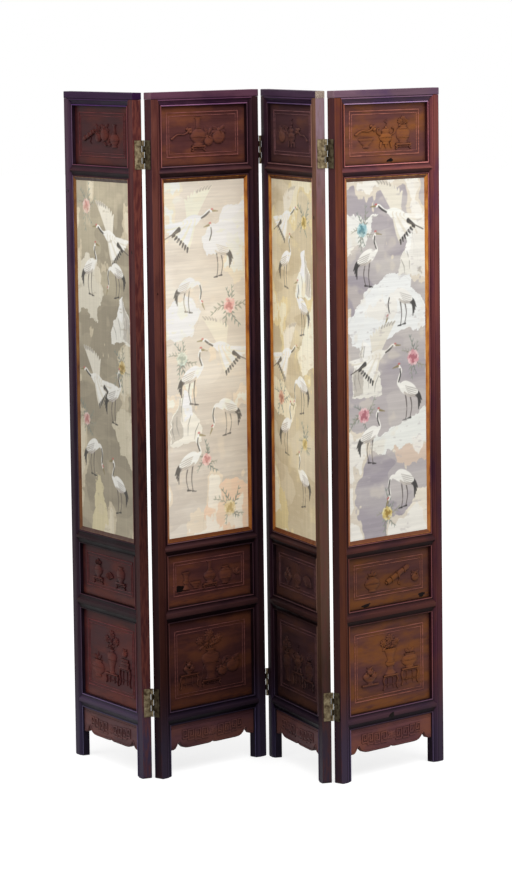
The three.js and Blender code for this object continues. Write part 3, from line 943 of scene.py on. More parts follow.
# What each board carries, from the field's bottom middle: maker, x, z, its sizes, its settings.
carvings = {
    (1, "top"): [
        (fruitSpray, 16, 50, 15), (pot, 74, 24, "bottle", 48),
        (scrollRoll, -72, 48, 46, {"turn": 24}), (leaves, 30, 26, 18, (20, 60, 150)),
    ],
    (1, "waist"): [
        (stand, -66, 12, 34, 14), (pot, -66, 26, "pot", 27), (bouquet, -66, 52, 8, 9, 5),
        (stand, 66, 12, 34, 14), (pot, 66, 26, "jar", 34), (fan, 0, 26, 17),
    ],
    (1, "lower"): [
        (stand, 6, 20, 48, 26), (pot, 6, 46, "baluster", 60), (bouquet, 6, 104, 19, 38, 12),
        (pot, -78, 28, "pot", 42), (leaves, -78, 70, 20, (40, 90, 140)), (stand, 82, 24, 42, 46),
        (books, 82, 70, 32, 22), (peach, 82, 104, 9),
    ],
    (2, "top"): [
        (stand, -17, 14, 30, 12), (pot, -17, 26, "bottle", 58), (fruitSpray, 60, 42, 16),
        (sceptre, -80, 46, 46, {"turn": 10}),
    ],
    (2, "waist"): [
        (stand, 2, 9, 34, 12), (pot, 2, 21, "bottle", 47), (pot, -88, 14, "beaker", 38),
        (pot, -52, 14, "bowl", 15), (pot, 62, 14, "jar", 38), (leaves, 100, 30, 17, (60, 110, 10)),
    ],
    (2, "lower"): [
        (stand, 2, 18, 46, 16), (pot, 2, 34, "baluster", 76), (bouquet, -4, 108, 24, 38, 13),
        (ribbon, 18, 88, 22, 50), (ribbon, -14, 88, 18, 56, {"flip": -1}), (stand, -82, 22, 46, 34),
        (fruitDish, -82, 56, 38), (fruitSpray, 86, 58, 18),
    ],
    (3, "top"): [
        (censer, 0, 20, 42), (peach, -72, 42, 15), (sceptre, 76, 42, 48, {"turn": -14, "flip": -1}),
    ],
    (3, "waist"): [
        (fruitDish, -66, 14, 44), (pot, 2, 14, "bottle", 52), (fan, 74, 22, 25, {"turn": -16}),
    ],
    (3, "lower"): [
        (stand, 0, 20, 50, 34), (censer, 0, 54, 48), (pot, -82, 22, "baluster", 72),
        (bouquet, -82, 94, 13, 30, 10), (stand, 82, 22, 40, 24), (pot, 82, 46, "jar", 46),
        (leaves, 82, 94, 20, (50, 90, 130)),
    ],
    (4, "top"): [
        (sceptre, -74, 50, 46, {"turn": 6}), (pot, -72, 20, "bowl", 19), (censer, 4, 18, 42),
        (stand, 72, 14, 36, 12), (pot, 72, 26, "jar", 38), (bouquet, 72, 62, 8, 14, 7),
    ],
    (4, "waist"): [
        (pot, -64, 14, "pot", 32), (leaves, -64, 46, 15, (35, 90, 145)),
        (scrollRoll, 34, 42, 62, {"turn": 26}), (peach, 104, 30, 10),
    ],
    (4, "lower"): [
        (stand, 4, 18, 38, 36), (pot, 4, 54, "beaker", 64), (bouquet, 2, 114, 17, 30, 11),
        (stand, 80, 22, 44, 40), (pot, 80, 62, "pot", 36), (leaves, 80, 98, 18, (40, 90, 140)),
        (fruitDish, -76, 40, 50), (bead, -76, 38, [(-22, 0), (22, 0)], 5, 2.4, {"flat": True}),
    ],
}

# The apron's relief: a bead along its scalloped edge and square hooks to both sides of a flower.
apron = {
    "edge": ((47, 74), (57, 74.5), (64, 77), (69.5, 84), (73.5, 90), (77.5, 92), (81.5, 89), (86, 83),
             (94, 77), (104, 74), (117, 73), (193, 73), (203, 74), (210, 77.5)),
    "top": 129,
    "hook": ((0, 0), (23, 0), (23, 27), (4, 27), (4, 9), (14.5, 9), (14.5, 18)),
    "hooks": ((18, 87), (46, 87), (74, 90), (100, 96)),
    "bar": (3.8, 2.2),
    "sides": (48, 372),
    "flower": (102, 13, 20),  # its height above the floor, its radius and its leaves' length
}


# Closes a leaf's new piece: outward normals, soft edges, its place, its body and its material.
def finishPiece(shape, name, leaf, material, move=Matrix.Identity(4), sharp=38):
    bmesh.ops.recalc_face_normals(shape, faces=shape.faces)
    for edge in shape.edges:
        edge.smooth = edge.calc_face_angle(0) < math.radians(sharp)
    for face in shape.faces:
        face.smooth = True
    bmesh.ops.transform(shape, matrix=leafPlaces[leaf] @ move, verts=shape.verts)
    mesh = bpy.data.meshes.new(name)
    shape.to_mesh(mesh)
    shape.free()
    made = bpy.data.objects.new(name, mesh)
    made.data.materials.append(material)
    scene.collection.objects.link(made)
    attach(made, f"leaf_{leaf}")


boardPlace = Matrix.Translation((0, leafSizes["boardFront"], 0))
for (leaf, board), motifs in carvings.items():
    shape = bmesh.new()
    wornBeadHighlight = shape.verts.layers.float.new("wornBeadHighlight")
    low, high = fields[board]
    left, right = fields["left"], fields["right"]
    inset, *inner = fields["inner"]
    for inward, sizes in ((0, fields["bead"]), (inset, inner)):
        corners = ((left + inward, low + inward), (right - inward, low + inward),
                   (right - inward, high - inward), (left + inward, high - inward))
        bead(shape, corners, *sizes, closed=True)
    # the bead lines are marked for a painted highlight with their wear
    for vertex in shape.verts:
        vertex[wornBeadHighlight] = 1.0
    wider, taller = fields["growth"][board]
    for maker, x, z, *sizes in motifs:
        settings = sizes.pop() if isinstance(sizes[-1], dict) else {}
        start = len(shape.verts)
        put(shape, maker, x, z, *sizes, **settings)
        grow = Matrix.Diagonal((wider, fields["depth"], taller, 1))
        along = x * (fields["spread"] - wider)  # the motifs grow about their own places
        up = low + fields["foot"] * (1 - taller)
        moveNew(shape, start, Matrix.Translation((leafSizes["middle"] + along, 0, up)) @ grow)
    finish = woodMaterials[leaf, f"{board}_panel"]
    finishPiece(shape, f"leaf_{leaf}_{board}_carving", leaf, finish, boardPlace)
print("boards carved")

for leaf in leafNumbers:
    shape = bmesh.new()
    half = curveThrough(apron["edge"], 2)
    mirrored = [(leafSizes["width"] - p[0], p[1]) for p in half[-2::-1]]
    bead(shape, [tuple(p) for p in half] + mirrored, 3.4, 2.0)
    bead(shape, [(x, apron["top"]) for x in apron["sides"]], 2.8, 1.4)
    for side in (-1, 1):
        for out, low in apron["hooks"]:
            squeeze = 0.8 if out == apron["hooks"][-1][0] else 1
            path = [(side * (out + x * squeeze), low + z * squeeze) for x, z in apron["hook"]]
            path = [(leafSizes["middle"] + x, z) for x, z in path]
            bead(shape, path, *apron["bar"], flat=True)
    z, radius, reach = apron["flower"]
    put(shape, flower, leafSizes["middle"], z, radius)
    put(shape, leaves, leafSizes["middle"], z, reach, (150, 210, -30, 30))
    move = Matrix.Translation((0, leafSizes["apronFront"], 0))
    finish = woodMaterials[leaf, "apron"]
    finishPiece(shape, f"leaf_{leaf}_apron_carving", leaf, finish, move)
print("aprons carved")

# The slip: four mitred strips around each painting.
painting = {"left": 43.1, "right": 376.9, "bottom": 632.1, "top": 1600.9, "mitreGap": 0.12, "steps": 12}
corners = [  # x, z, and which way the painting lies from there
    (painting["left"], painting["bottom"], 1, 1),
    (painting["right"], painting["bottom"], -1, 1),
    (painting["right"], painting["top"], -1, -1),
    (painting["left"], painting["top"], 1, -1),
]
for leaf in leafNumbers:
    for k, side in enumerate(("bottom", "right", "top", "left")):
        shape = bmesh.new()
        rings = []
        for step in range(painting["steps"] + 1):
            share = step / painting["steps"]
            ring = []
            for inward, y in slip["section"]:
                ends = []
                for x, z, dx, dz in (corners[k], corners[(k + 1) % 4]):
                    ends.append(np.array((x + dx * inward, z + dz * inward)))
                run = ends[1] - ends[0]
                away = painting["mitreGap"] / np.hypot(*run)
                spot = ends[0] + run * (away + (1 - 2 * away) * share)
                ring.append((spot[0], y, spot[1]))
            rings.append(ring)
        addRings(shape, rings)
        name = f"leaf_{leaf}_slip_{side}"
        finishPiece(shape, name, leaf, slipMaterials[leaf], sharp=25)
print("slips laid")

# The paintings are generic: cranes, garden rocks and peonies, in the old paintings' soft colours.
acrossPoints = int((silk["right"] - silk["left"]) / silk["step"]) + 1
upPoints = int((silk["top"] - silk["bottom"]) / silk["step"]) + 1
silkWidth = silk["right"] - silk["left"]
silkHeight = silk["top"] - silk["bottom"]
paintX, paintZ = np.meshgrid(
    np.linspace(0, silkWidth, acrossPoints), np.linspace(0, silkHeight, upPoints)
)


def hexTone(text):
    return np.array([int(text[k : k + 2], 16) / 255 for k in (1, 3, 5)])


# Smooth noise from 0 to 1 with blots of the given width and height in mm.
def cloudPattern(random, wide, tall, octaves=4):
    total = np.zeros_like(paintX)
    weight = 0
    for octave in range(octaves):
        share = 0.5**octave
        across, up = wide * share, tall * share
        columns = int(silkWidth / across) + 4
        rows = int(silkHeight / up) + 4
        grid = random.random((rows, columns))
        u, v = paintX / across + 1, paintZ / up + 1
        i, j = u.astype(int), v.astype(int)
        s, t = u - i, v - j
        s, t = s * s * (3 - 2 * s), t * t * (3 - 2 * t)
        low = grid[j, i] * (1 - s) + grid[j, i + 1] * s
        high = grid[j + 1, i] * (1 - s) + grid[j + 1, i + 1] * s
        total += (low * (1 - t) + high * t) * share
        weight += share
    return total / weight


def smoothStep(value, low, high):
    t = np.clip((value - low) / (high - low), 0, 1)
    return t * t * (3 - 2 * t)


def cover(canvas, mask, tone, strength=1.0):
    share = (np.clip(mask, 0, 1) * strength)[..., None]
    canvas[:] = canvas * (1 - share) + hexTone(tone) * share


# One brush stroke: points of (x, z, width) in mm.
def stroke(canvas, points, tone, strength=1.0, soft=1.1):
    widest = max(p[2] for p in points)
    margin = widest + 3
    xs, zs = [p[0] for p in points], [p[1] for p in points]
    stepX = silkWidth / (acrossPoints - 1)
    stepZ = silkHeight / (upPoints - 1)
    i0 = max(int((min(xs) - margin) / stepX), 0)
    i1 = min(int((max(xs) + margin) / stepX) + 2, acrossPoints)
    j0 = max(int((min(zs) - margin) / stepZ), 0)
    j1 = min(int((max(zs) + margin) / stepZ) + 2, upPoints)
    if i1 <= i0 or j1 <= j0:
        return
    gridX, gridZ = paintX[j0:j1, i0:i1], paintZ[j0:j1, i0:i1]
    inside = np.full(gridX.shape, -1e3)
    for a, b in zip(points, points[1:]):
        dx, dz = b[0] - a[0], b[1] - a[1]
        along = ((gridX - a[0]) * dx + (gridZ - a[1]) * dz) / max(dx * dx + dz * dz, 1e-6)
        along = np.clip(along, 0, 1)
        away = np.hypot(gridX - a[0] - along * dx, gridZ - a[1] - along * dz)
        inside = np.maximum(inside, (a[2] + (b[2] - a[2]) * along) / 2 - away)
    share = (smoothStep(inside, -soft, soft) * strength)[..., None]
    part = canvas[j0:j1, i0:i1]
    part[:] = part * (1 - share) + hexTone(tone) * share


# A patch of flat colour. Its outline is pushed about by two noise fields, so its edge looks torn.
def patch(canvas, outline, tone, push=(0, 0), strength=1.0):
    x, z = paintX + push[0], paintZ + push[1]
    inside = np.zeros(x.shape, bool)
    for a, b in zip(outline, outline[1:] + outline[:1]):
        if a[1] != b[1]:
            between = (a[1] > z) != (b[1] > z)
            inside ^= between & (x < (b[0] - a[0]) * (z - a[1]) / (b[1] - a[1]) + a[0])
    cover(canvas, inside, tone, strength)


birdTones = {
    "white": "#F4F1E8",
    "cream": "#E6DFCE",
    "shade": "#C4BBB0",
    "line": "#8E867E",
    "dark": "#2E2C2B",
    "leg": "#57504C",
    "crown": "#C06862",
    "beak": "#8A7C54",
}


# A crane about its feet (standing) or its breast (flying); size is its height in mm.
def crane(canvas, x, z, size, flip=1, pose="stand"):
    def brush(path, widths, tone, strength=1.0):
        steps = curveThrough([(p[0], p[1], w) for p, w in zip(path, widths)], 5)
        points = [(x + flip * s[0] * size, z + s[1] * size, max(s[2] * size, 1.0)) for s in steps]
        stroke(canvas, points, birdTones[tone], strength)

    if pose == "fly":
        for k in range(9):  # the far wing, feather by feather
            t = k / 8
            root = (0.1 - 0.16 * t, 0.06)
            tip = (0.5 - 0.62 * t, 0.56 - 0.2 * t * t)
            brush((root, (tip[0] * 0.7, tip[1] * 0.62 + 0.06), tip), (0.05, 0.07, 0.035), "cream")
            if k < 5:
                brush(((tip[0] * 0.86, tip[1] * 0.86 + 0.03), tip), (0.04, 0.02), "line", 0.6)
        brush(((-0.3, -0.1), (-0.12, -0.03), (0.06, 0.02), (0.2, 0.06)), (0.05, 0.16, 0.19, 0.08), "white")
        for k in range(11):  # the near wing, spread to the other side
            t = k / 10
            root = (0.1 - 0.3 * t, 0.03 - 0.04 * t)
            tip = (-0.08 - 0.56 * t, -0.46 + 0.42 * t)
            bend = (tip[0] * 0.6 + root[0] * 0.5, tip[1] * 0.55 - 0.02)
            brush((root, bend, tip), (0.06, 0.075, 0.035), "white" if k % 3 else "cream")
            if k < 7:
                brush(((tip[0] * 0.88, tip[1] * 0.88), tip), (0.05, 0.032), "dark", 0.92)
        brush(((0.16, 0.05), (0.3, 0.08), (0.42, 0.16), (0.5, 0.16)), (0.08, 0.05, 0.045, 0.05), "white")
        brush(((0.26, 0.055), (0.36, 0.1), (0.44, 0.15)), (0.03, 0.035, 0.03), "dark", 0.9)
        brush(((0.52, 0.16), (0.64, 0.15)), (0.035, 0.014), "beak")
        brush(((0.49, 0.185), (0.52, 0.185)), (0.03, 0.028), "crown")
        brush(((-0.26, -0.1), (-0.42, -0.18)), (0.08, 0.03), "dark", 0.95)
        brush(((-0.3, -0.13), (-0.62, -0.25)), (0.022, 0.018), "leg")
        return
    if pose == "feed":  # the neck bends down to the ground
        neck = ((0.12, 0.52), (0.28, 0.55), (0.36, 0.42), (0.33, 0.26), (0.38, 0.16))
        beak = ((0.39, 0.14), (0.45, 0.03))
        crown = ((0.37, 0.2), (0.4, 0.18))
        throat = ((0.33, 0.5), (0.36, 0.38), (0.335, 0.24))
    else:
        neck = ((0.1, 0.56), (0.22, 0.63), (0.18, 0.76), (0.14, 0.85), (0.2, 0.93))
        beak = ((0.22, 0.93), (0.36, 0.9))
        crown = ((0.18, 0.965), (0.21, 0.965))
        throat = ((0.21, 0.66), (0.16, 0.78), (0.17, 0.88))
    brush(((0.03, 0.42), (0.0, 0.2), (0.03, 0.0)), (0.035, 0.022, 0.02), "leg")
    brush(((-0.08, 0.42), (-0.13, 0.22), (-0.08, 0.02)), (0.035, 0.022, 0.02), "leg")
    brush(((0.02, 0.0), (0.11, -0.01)), (0.034, 0.016), "dark")
    brush(((-0.1, 0.02), (-0.01, 0.01)), (0.034, 0.016), "dark")
    for k in range(4):  # the drooping tail plumes
        brush(((-0.16, 0.46), (-0.31, 0.42 - 0.02 * k), (-0.4 + 0.03 * k, 0.3 - 0.05 * k)),
              (0.09, 0.07, 0.02), "dark", 0.95)
    brush(((-0.26, 0.45), (-0.12, 0.5), (0.04, 0.55), (0.14, 0.57)), (0.08, 0.21, 0.23, 0.12), "white")
    brush(((-0.22, 0.4), (-0.06, 0.4), (0.06, 0.46)), (0.03, 0.05, 0.04), "shade", 0.95)
    for k in range(5):  # the wing's folded feathers
        level = 0.555 - 0.035 * k
        brush(((0.04 - 0.02 * k, level + 0.02), (-0.12, level - 0.02), (-0.27, level - 0.06)),
              (0.012, 0.016, 0.012), "line", 0.6)
    brush(neck, (0.11, 0.065, 0.05, 0.045, 0.055), "white")
    brush(throat, (0.028, 0.032, 0.024), "dark", 0.92)
    brush(beak, (0.045, 0.014), "beak")
    brush(crown, (0.035, 0.032), "crown")


def around(x, z, angle, reach):
    return x + math.cos(angle) * reach, z + math.sin(angle) * reach


# A twig with tapering leaves to both sides.
def sprig(canvas, x, z, length, turn, tone, leaf=0.34, count=4):
    angle = math.radians(turn)
    path = []
    for k in range(count + 1):
        share = k / count
        path.append((*around(x, z, angle + 0.5 * share, length * share), 3.0 * (1 - share) + 1))
    stroke(canvas, path, "#7A6E62", 0.8)
    for k in range(1, count + 1):
        px, pz = path[k][:2]
        for side in (-1, 1):
            out = angle + 0.3 + side * (0.75 - 0.3 * k / count)
            long = length * leaf * (1 - 0.4 * k / count)
            middle = (*around(px, pz, out, long * 0.5), long * 0.3)
            stroke(canvas, [(px, pz, 1.4), middle, (*around(px, pz, out, long), 1)], tone, 0.85)


# A peony seen from the side: an outer ring of petals, an inner ring and a deeper heart.
def peony(canvas, x, z, size, tones, turn=0.0):
    for ring, (count, out, wide) in enumerate(((9, 0.36, 0.34), (7, 0.22, 0.3), (4, 0.09, 0.22))):
        for k in range(count):
            angle = turn + math.tau * k / count + ring
            tip = (x + math.cos(angle) * out * size, z + math.sin(angle) * out * size * 0.86, wide * size)
            base = (*around(x, z, angle, out * size * 0.4), wide * size * 0.6)
            stroke(canvas, [tip, base], tones[min(ring + k % 2, len(tones) - 1)], 0.95)
            edge = (tip[0] + math.cos(angle) * wide * size * 0.42,
                    tip[1] + math.sin(angle) * wide * size * 0.36, 1.3)
            stroke(canvas, [edge, (tip[0], tip[1], 0.8)], tones[-1], 0.35)
    stroke(canvas, [(x, z, size * 0.1), (x + 1, z + 1, size * 0.08)], tones[-1], 0.9)


# A garden rock: a pale body with a lit and a shaded facet, dark clefts and moss.
def rock(canvas, random, x, z, wide, tall, flip):
    tones = ("#ECE8DC", "#F7F5EE", "#C9C2B6", "#7E7870")

    def at(a, b):
        return (x + flip * a * wide, z + b * tall)

    push = [(cloudPattern(random, 30, 26, 4) - 0.5) * 26 for axis in range(2)]
    body = (at(-0.5, 0), at(-0.46, 0.4), at(-0.2, 0.56), at(-0.12, 0.92), at(0.08, 1), at(0.2, 0.66),
            at(0.42, 0.5), at(0.5, 0))
    patch(canvas, body, tones[0], push)
    patch(canvas, (at(-0.12, 0.92), at(0.08, 1), at(0.0, 0.4), at(-0.2, 0.5)), tones[1], push)
    shaded = (at(0.1, 0.9), at(0.2, 0.62), at(0.4, 0.48), at(0.46, 0.04), at(0.12, 0.1))
    patch(canvas, shaded, tones[2], push)
    clefts = ((-0.4, 0.34, -0.26, 0.06), (-0.16, 0.5, -0.06, 0.14), (0.06, 0.88, 0.1, 0.4),
              (0.26, 0.5, 0.2, 0.16), (0.38, 0.4, 0.34, 0.1))
    for a0, b0, a1, b1 in clefts:
        start, end = at(a0, b0), at(a1, b1)
        bend = ((start[0] + end[0]) / 2 + 5 * flip, (start[1] + end[1]) / 2)
        stroke(canvas, [(*start, 2.4), (*bend, 3.2), (*end, 1.2)], tones[3], 0.6)


silkDesigns = {
    1: {
        "ground": ("#AFA48D", "#978D79", "#BDB298"),
        "patch": ("#E0D5BC", "#D6C8AC"),
        "silkLightByHeight": (0.85, 0.85, 0.9, 1.04),  # painted light: brightness from foot to top
        "share": 0.5,
        "ink": 0.78,
        "slopes": (
            (((-20, 700), (60, 760), (120, 742), (150, 640), (110, 560), (30, 600), (-20, 590)),
             "#E4DCC8"),
            (((330, 330), (250, 350), (200, 300), (250, 220), (330, 190)), "#D9CEB4"),
            (((60, -20), (90, 150), (130, 130), (190, -20)), "#DACDA6"),
        ),
        "rocks": ((262, 520, 120, 130, 1),),
        "cranes": (
            (205, 800, 170, -1, "fly"), (82, 640, 150, 1, "stand"), (236, 640, 140, -1, "feed"),
            (110, 410, 160, -1, "fly"), (214, 300, 156, 1, "stand"), (78, 150, 150, 1, "feed"),
            (226, 60, 150, -1, "stand"),
        ),
        "blooms": ((60, 880, 44, 0), (262, 455, 40, 1), (40, 300, 38, 0)),
        "tones": (("#E3C9BE", "#D8AFA4", "#B98078"), ("#E4D2A2", "#CDB277", "#9C8248")),
    },
    2: {
        "ground": ("#DDD5C8", "#CFC5B8", "#E6DFD3"),
        "patch": ("#F0EADD", "#E8DAC4"),
        "silkLightByHeight": (1.03, 1.05, 1.09, 1.1),
        "share": 0.5,
        "ink": 0.66,
        "slopes": (
            (((330, 900), (240, 870), (150, 800), (170, 750), (260, 780), (330, 760)), "#F3F1E8"),
            (((-20, 610), (70, 640), (130, 600), (90, 540), (-20, 520)), "#F2EFE6"),
            (((330, 120), (230, 150), (140, 60), (160, -20), (330, -20)), "#ECD0B6"),
        ),
        "rocks": ((70, 250, 130, 150, -1),),
        "cranes": (
            (100, 840, 170, 1, "fly"), (206, 690, 150, -1, "stand"), (88, 600, 140, 1, "feed"),
            (222, 496, 160, -1, "fly"), (104, 352, 156, 1, "stand"), (232, 260, 150, -1, "feed"),
            (90, 120, 160, 1, "stand"),
        ),
        "blooms": ((250, 610, 46, 0), (60, 478, 40, 2), (240, 60, 44, 1), (150, 200, 36, 0)),
        "tones": (("#F0D5CE", "#E4B7B0", "#C48C86"), ("#EFE1B8", "#DCC58A", "#AE9150"),
                  ("#DDE5DA", "#C3D0C4", "#94A598")),
    },
    3: {
        "ground": ("#D3C6A8", "#C0B090", "#DDD2B8"),
        "patch": ("#EAE2C8", "#E2D2A2"),
        "silkLightByHeight": (1.0, 1.04, 1.07, 1.05),
        "share": 0.52,
        "ink": 0.68,
        "slopes": (
            (((330, 620), (260, 600), (190, 480), (230, 430), (330, 460)), "#EDE7D2"),
            (((-20, 420), (80, 400), (170, 340), (120, 300), (-20, 330)), "#E9E0C4"),
            (((-20, 100), (70, 120), (110, 40), (80, -20), (-20, -20)), "#DCCB98"),
        ),
        "rocks": ((240, 640, 120, 130, 1),),
        "cranes": (
            (110, 850, 150, 1, "fly"), (110, 660, 150, 1, "stand"), (225, 540, 150, -1, "stand"),
            (100, 480, 160, 1, "fly"), (216, 330, 150, -1, "feed"), (100, 210, 150, 1, "stand"),
            (220, 80, 150, -1, "stand"),
        ),
        "blooms": ((250, 840, 40, 1), (60, 360, 42, 0), (236, 250, 36, 1)),
        "tones": (("#E6C9AE", "#D6A88E", "#AE7A64"), ("#E6D6A0", "#CDB472", "#98803E")),
    },
    4: {
        "ground": ("#BEB6B3", "#A39BA1", "#CBC4BD"),
        "patch": ("#F0ECE2", "#E6DBC6"),
        "silkLightByHeight": (0.93, 0.95, 0.97, 1.03),
        "share": 0.5,
        "ink": 0.84,
        "slopes": (
            (((-20, 560), (60, 640), (150, 700), (240, 690), (300, 620), (330, 560), (200, 540), (60, 500)),
             "#F2F3EF"),
            (((-20, 880), (70, 840), (130, 860), (60, 780), (-20, 760)), "#EDECE4"),
            (((330, 330), (230, 310), (90, 250), (120, 220), (330, 250)), "#EDEEE6"),
            (((330, 240), (180, 236), (190, 190), (330, 180)), "#DCC6B2"),
            (((250, -20), (230, 60), (290, 120), (330, 130), (330, -20)), "#EDE4D2"),
        ),
        "rocks": ((72, 380, 120, 150, -1), (256, 690, 100, 130, 1)),
        "cranes": (
            (202, 854, 170, -1, "fly"), (84, 670, 150, 1, "stand"), (216, 560, 150, -1, "feed"),
            (108, 482, 160, 1, "fly"), (234, 306, 156, -1, "stand"), (90, 200, 150, 1, "stand"),
            (214, 70, 156, -1, "feed"),
        ),
        "blooms": ((60, 820, 40, 2), (262, 470, 46, 0), (60, 330, 44, 0), (150, 60, 40, 1)),
        "tones": (("#EBC7C6", "#D9A0A4", "#B06E76"), ("#EBDDA8", "#D2BA74", "#9C8040"),
                  ("#C2DADB", "#93B9BE", "#5F8890")),
    },
}


def paintSilk(leaf):
    random = np.random.default_rng(silk["seed"] + leaf)
    design = silkDesigns[leaf]
    base, dark, light = design["ground"]
    ivory, cream = design["patch"]
    canvas = np.ones((*paintX.shape, 3)) * hexTone(base)
    cover(canvas, smoothStep(cloudPattern(random, 260, 90), 0.42, 0.7), dark, 0.9)
    cover(canvas, smoothStep(cloudPattern(random, 200, 60), 0.52, 0.72), light, 0.8)
    # painted shade: the silk darkens towards its foot
    lower = 1 - smoothStep(paintZ, 0, silkHeight * 0.7)
    cover(canvas, lower, dark, 0.45)
    for side in range(2):  # flat washes with a clear upper edge, one above the other
        wash = cloudPattern(random, 240, 110, 3)
        cover(canvas, smoothStep(wash, 0.56, 0.575), (light, dark)[side], 0.5)
    # bare places along the edges, where the paint has gone and pale silk shows
    side = np.minimum(paintX, silkWidth - paintX) / silkWidth
    away = np.minimum(side * 3.2, np.minimum(paintZ, silkHeight - paintZ) / silkHeight * 6)
    torn = cloudPattern(random, 90, 120, 5) + 0.16 * (0.5 - np.clip(away, 0, 1))
    cover(canvas, smoothStep(torn, design["share"] + 0.1, design["share"] + 0.115), cream, 0.85)
    push = [(cloudPattern(random, 34, 30, 5) - 0.5) * 44 for axis in range(2)]
    for outline, tone in design["slopes"]:
        patch(canvas, outline, tone, push, 0.95)
        under = tuple((a, b - 5) for a, b in outline)
        stroke(canvas, [(a, b, 1.2) for a, b in curveThrough(under, 6)], "#8F8880", 0.16)
    for x, z, wide, tall, flip in design["rocks"]:
        rock(canvas, random, x, z, wide, tall, flip)
    cover(canvas, smoothStep(torn, design["share"] + 0.17, design["share"] + 0.185), ivory, 0.9)
    for k, (x, z, size, kind) in enumerate(design["blooms"]):
        for spread in range(6):
            turn = random.uniform(0, 60) + 60 * spread
            green = ("#8F9688", "#7F8A80", "#A0A08E")[spread % 3]
            sprig(canvas, x, z, size * random.uniform(0.8, 1.5), turn, green)
        kinds = design["tones"]
        peony(canvas, x, z, size, kinds[min(kind, len(kinds) - 1)], k)
    before = canvas.copy()
    for x, z, size, flip, pose in design["cranes"]:
        crane(canvas, x, z, size, flip, pose)
    canvas += np.maximum(before - canvas, 0) * (1 - design["ink"])  # the dark strokes have faded
    wear = cloudPattern(random, 26, 9, 3)
    cover(canvas, smoothStep(wear, 0.68, 0.8), base, 0.45)
    cover(canvas, smoothStep(cloudPattern(random, 60, 60, 3), 0.66, 0.78), cream, 0.35)
    # painted light and shade by height: darker towards the foot
    silkLightByHeight = np.interp(paintZ / silkHeight, (0, 0.35, 0.65, 0.95), design["silkLightByHeight"])
    return np.clip(canvas * silkLightByHeight[..., None], 0, 0.97)


def makeSilk(leaf):
    canvas = paintSilk(leaf)
    random = np.random.default_rng(silk["seed"] * 3 + leaf)
    ripple = (cloudPattern(random, 60, 240, 2) - 0.5) * 0.7
    shape = np.stack(
        (paintX + silk["left"], silk["front"] + ripple, paintZ + silk["bottom"]), axis=-1
    ).reshape(-1, 3)
    place = np.array(leafPlaces[leaf])
    points = shape @ place[:3, :3].T + place[:3, 3]
    index = np.arange(upPoints * acrossPoints).reshape(upPoints, acrossPoints)
    corners = (index[:-1, :-1], index[:-1, 1:], index[1:, 1:], index[1:, :-1])
    faces = np.stack([c.ravel() for c in corners], axis=-1)
    mesh = bpy.data.meshes.new(f"leaf_{leaf}_silk")
    mesh.from_pydata(points.tolist(), [], faces.tolist())
    mesh.shade_smooth()
    linear = np.where(canvas <= 0.04045, canvas / 12.92, ((canvas + 0.055) / 1.055) ** 2.4)
    tones = np.concatenate((linear.reshape(-1, 3), np.ones((linear[..., 0].size, 1))), axis=1)
    paint = mesh.color_attributes.new("paint", "FLOAT_COLOR", "POINT")
    paint.data.foreach_set("color", tones.astype(np.float32).ravel())
    made = bpy.data.objects.new(f"leaf_{leaf}_silk", mesh)
    made.data.materials.append(silkMaterials[leaf])
    scene.collection.objects.link(made)
    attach(made, f"leaf_{leaf}")


for leaf in leafNumbers:
    makeSilk(leaf)
print("silk painted")

# Three slotted screws hold each hinge plate: (back from the leaf's middle, up from the plate's end).
screws = {
    "head": 2.9,  # mm, radius
    "proud": 0.35,
    "slot": 0.8,
    "places": ((-3.5, 12), (3.5, 38), (-3.5, 64)),
    "back": 13.5,
    "plate": 2,  # how thick the plates are
    "plateBottoms": {"lower": 168, "upper": 1629},
}


def screwHead(shape, turn):
    start = len(shape.verts)
    radius = screws["head"]
    dome(shape, 0, 0, radius + 0.15, radius + 0.15, 0, 0.12, sides=24)
    first = math.asin(screws["slot"] / 2 / radius)
    angles = [first + (math.pi - 2 * first) * k / 12 for k in range(13)]
    for side in (-1, 1):
        outline = [(math.cos(angle) * radius, side * math.sin(angle) * radius) for angle in angles]
        slab(shape, outline, screws["proud"], 0.15)
    moveNew(shape, start, Matrix.Rotation(math.radians(turn), 4, "Y"))


for left in (1, 2, 3):
    for level, bottom in screws["plateBottoms"].items():
        for leaf in (left, left + 1):
            onLeft = leaf == left
            plate = "pin_plate" if onLeft != (left == 2) else "plate"
            shape = bmesh.new()
            for k, (back, up) in enumerate(screws["places"]):
                put(shape, screwHead, back, up, 35 + 50 * k)
            face = leafSizes["width"] + screws["plate"] if onLeft else -screws["plate"]
            quarter = Matrix.Rotation(math.radians(90 if onLeft else -90), 4, "Z")
            move = Matrix.Translation((face, screws["back"], bottom)) @ quarter
            name = f"hinge_{left}{left + 1}_{level}_{plate}_screws"
            finishPiece(shape, name, leaf, brassMaterials[f"{level}_{plate}"], move)
print("screws driven")

# Knots and old nail holes filled with wax: (x, z, width, height, depth back from the front).
marks = {
    1: ((18, 1560, 6, 8, 0), (22, 980, 5, 5, 0), (402, 1410, 5, 8, 0)),
    2: ((96, 501, 40, 20, 12.5), (14, 1300, 5, 6, 0), (404, 600, 5, 6, 0)),
    3: ((20, 700, 5, 6, 0), (400, 1500, 6, 10, 0)),
    4: ((232, 1642, 26, 9, 12.5), (205, 157, 21, 14, 0), (118, 463, 34, 9, 12.5),
        (346, 466, 26, 12, 12.5)),
}


def blot(shape, wide, tall, seed):
    rings = []
    for share, up in ((1, -0.2), (1, 0.1), (0.7, 0.3), (0.3, 0.4)):
        ring = []
        for k in range(28):
            angle = math.tau * k / 28
            uneven = 1 + 0.16 * math.sin(3 * angle + seed) + 0.1 * math.sin(5 * angle + 2 * seed)
            ring.append((math.cos(angle) * wide / 2 * share * uneven, -up,
                         math.sin(angle) * tall / 2 * share * uneven))
        rings.append(ring)
    addRings(shape, rings)


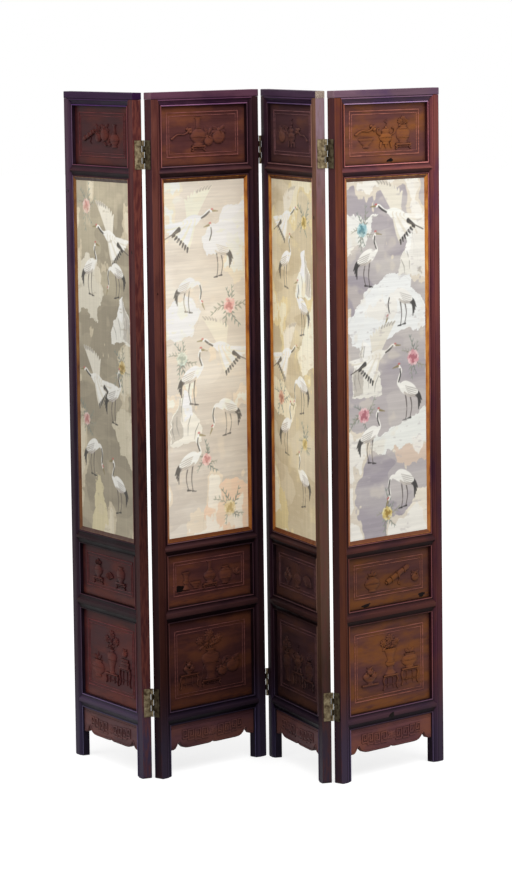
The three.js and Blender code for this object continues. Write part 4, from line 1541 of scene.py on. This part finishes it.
for leaf, spots in marks.items():
    shape = bmesh.new()
    for k, (x, z, wide, tall, back) in enumerate(spots):
        put(shape, blot, x, z, wide, tall, leaf + k, turn=6, back=back)
    finishPiece(shape, f"leaf_{leaf}_wax_plugs", leaf, blackWax)
print("marks filled")

# Light: an even white room, one broad lamp from the right front and a weaker one from the left.
light = {
    "room": 0.75,
    "key": (2.2, (38, 0, 15)),  # strength, and turns in degrees
    "fill": (0.95, (50, 0, -50)),
    "spread": 40,  # degrees across each lamp
    "floorGlow": 0.74,
    "floorTone": 0.3,
}
world = bpy.data.worlds.new("room")
world.use_nodes = True
world.node_tree.nodes.clear()
scene.world = world
tree = world.node_tree
paths = addNode(tree, "LightPath")
seen = compute(tree, "MAXIMUM", paths["Is Camera Ray"], paths["Is Glossy Ray"])
seen = compute(tree, "MAXIMUM", seen, paths["Is Transmission Ray"])
level = addNode(tree, "MapRange", {"Value": seen, "To Min": light["room"], "To Max": 1})[0]
sky = addNode(tree, "Background", {"Color": (1, 1, 1, 1), "Strength": level})[0]
addNode(tree, "OutputWorld", {"Surface": sky})
for name in ("key", "fill"):
    strength, turns = light[name]
    lamp = bpy.data.lights.new(name, "SUN")
    lamp.energy = strength
    lamp.angle = math.radians(light["spread"])
    holder = bpy.data.objects.new(name, lamp)
    holder.rotation_euler = [math.radians(t) for t in turns]
    scene.collection.objects.link(holder)

# Seen by the camera the floor is white, and it keeps the screen's soft shadow.
floorMaterial, tree = newMaterial("paleFloor")
paths = addNode(tree, "LightPath")
seen = compute(tree, "MAXIMUM", paths["Is Camera Ray"], paths["Is Glossy Ray"])
glow = addNode(tree, "Emission", {"Color": (1, 1, 1, 1), "Strength": light["floorGlow"]})[0]
faint = addNode(tree, "BsdfDiffuse", {"Color": (light["floorTone"],) * 3 + (1,)})[0]
both = addNode(tree, "AddShader", {0: glow, 1: faint})[0]
plain = addNode(tree, "BsdfDiffuse", {"Color": (0.45, 0.45, 0.45, 1)})[0]
mixed = addNode(tree, "MixShader", {0: seen, 1: plain, 2: both})[0]
addNode(tree, "OutputMaterial", {"Surface": mixed})
floorMesh = bpy.data.meshes.new("floor")
reach = 40
floorMesh.from_pydata(
    [(-reach, -reach, 0), (reach, -reach, 0), (reach, reach, 0), (-reach, reach, 0)], [], [(0, 1, 2, 3)]
)
floor = bpy.data.objects.new("floor", floorMesh)
floor.data.materials.append(floorMaterial)
scene.collection.objects.link(floor)
floor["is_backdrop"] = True
print("room lit")

sizes = {"cad": [list(c) for c in cadBox], "visual": [list(c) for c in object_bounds()]}
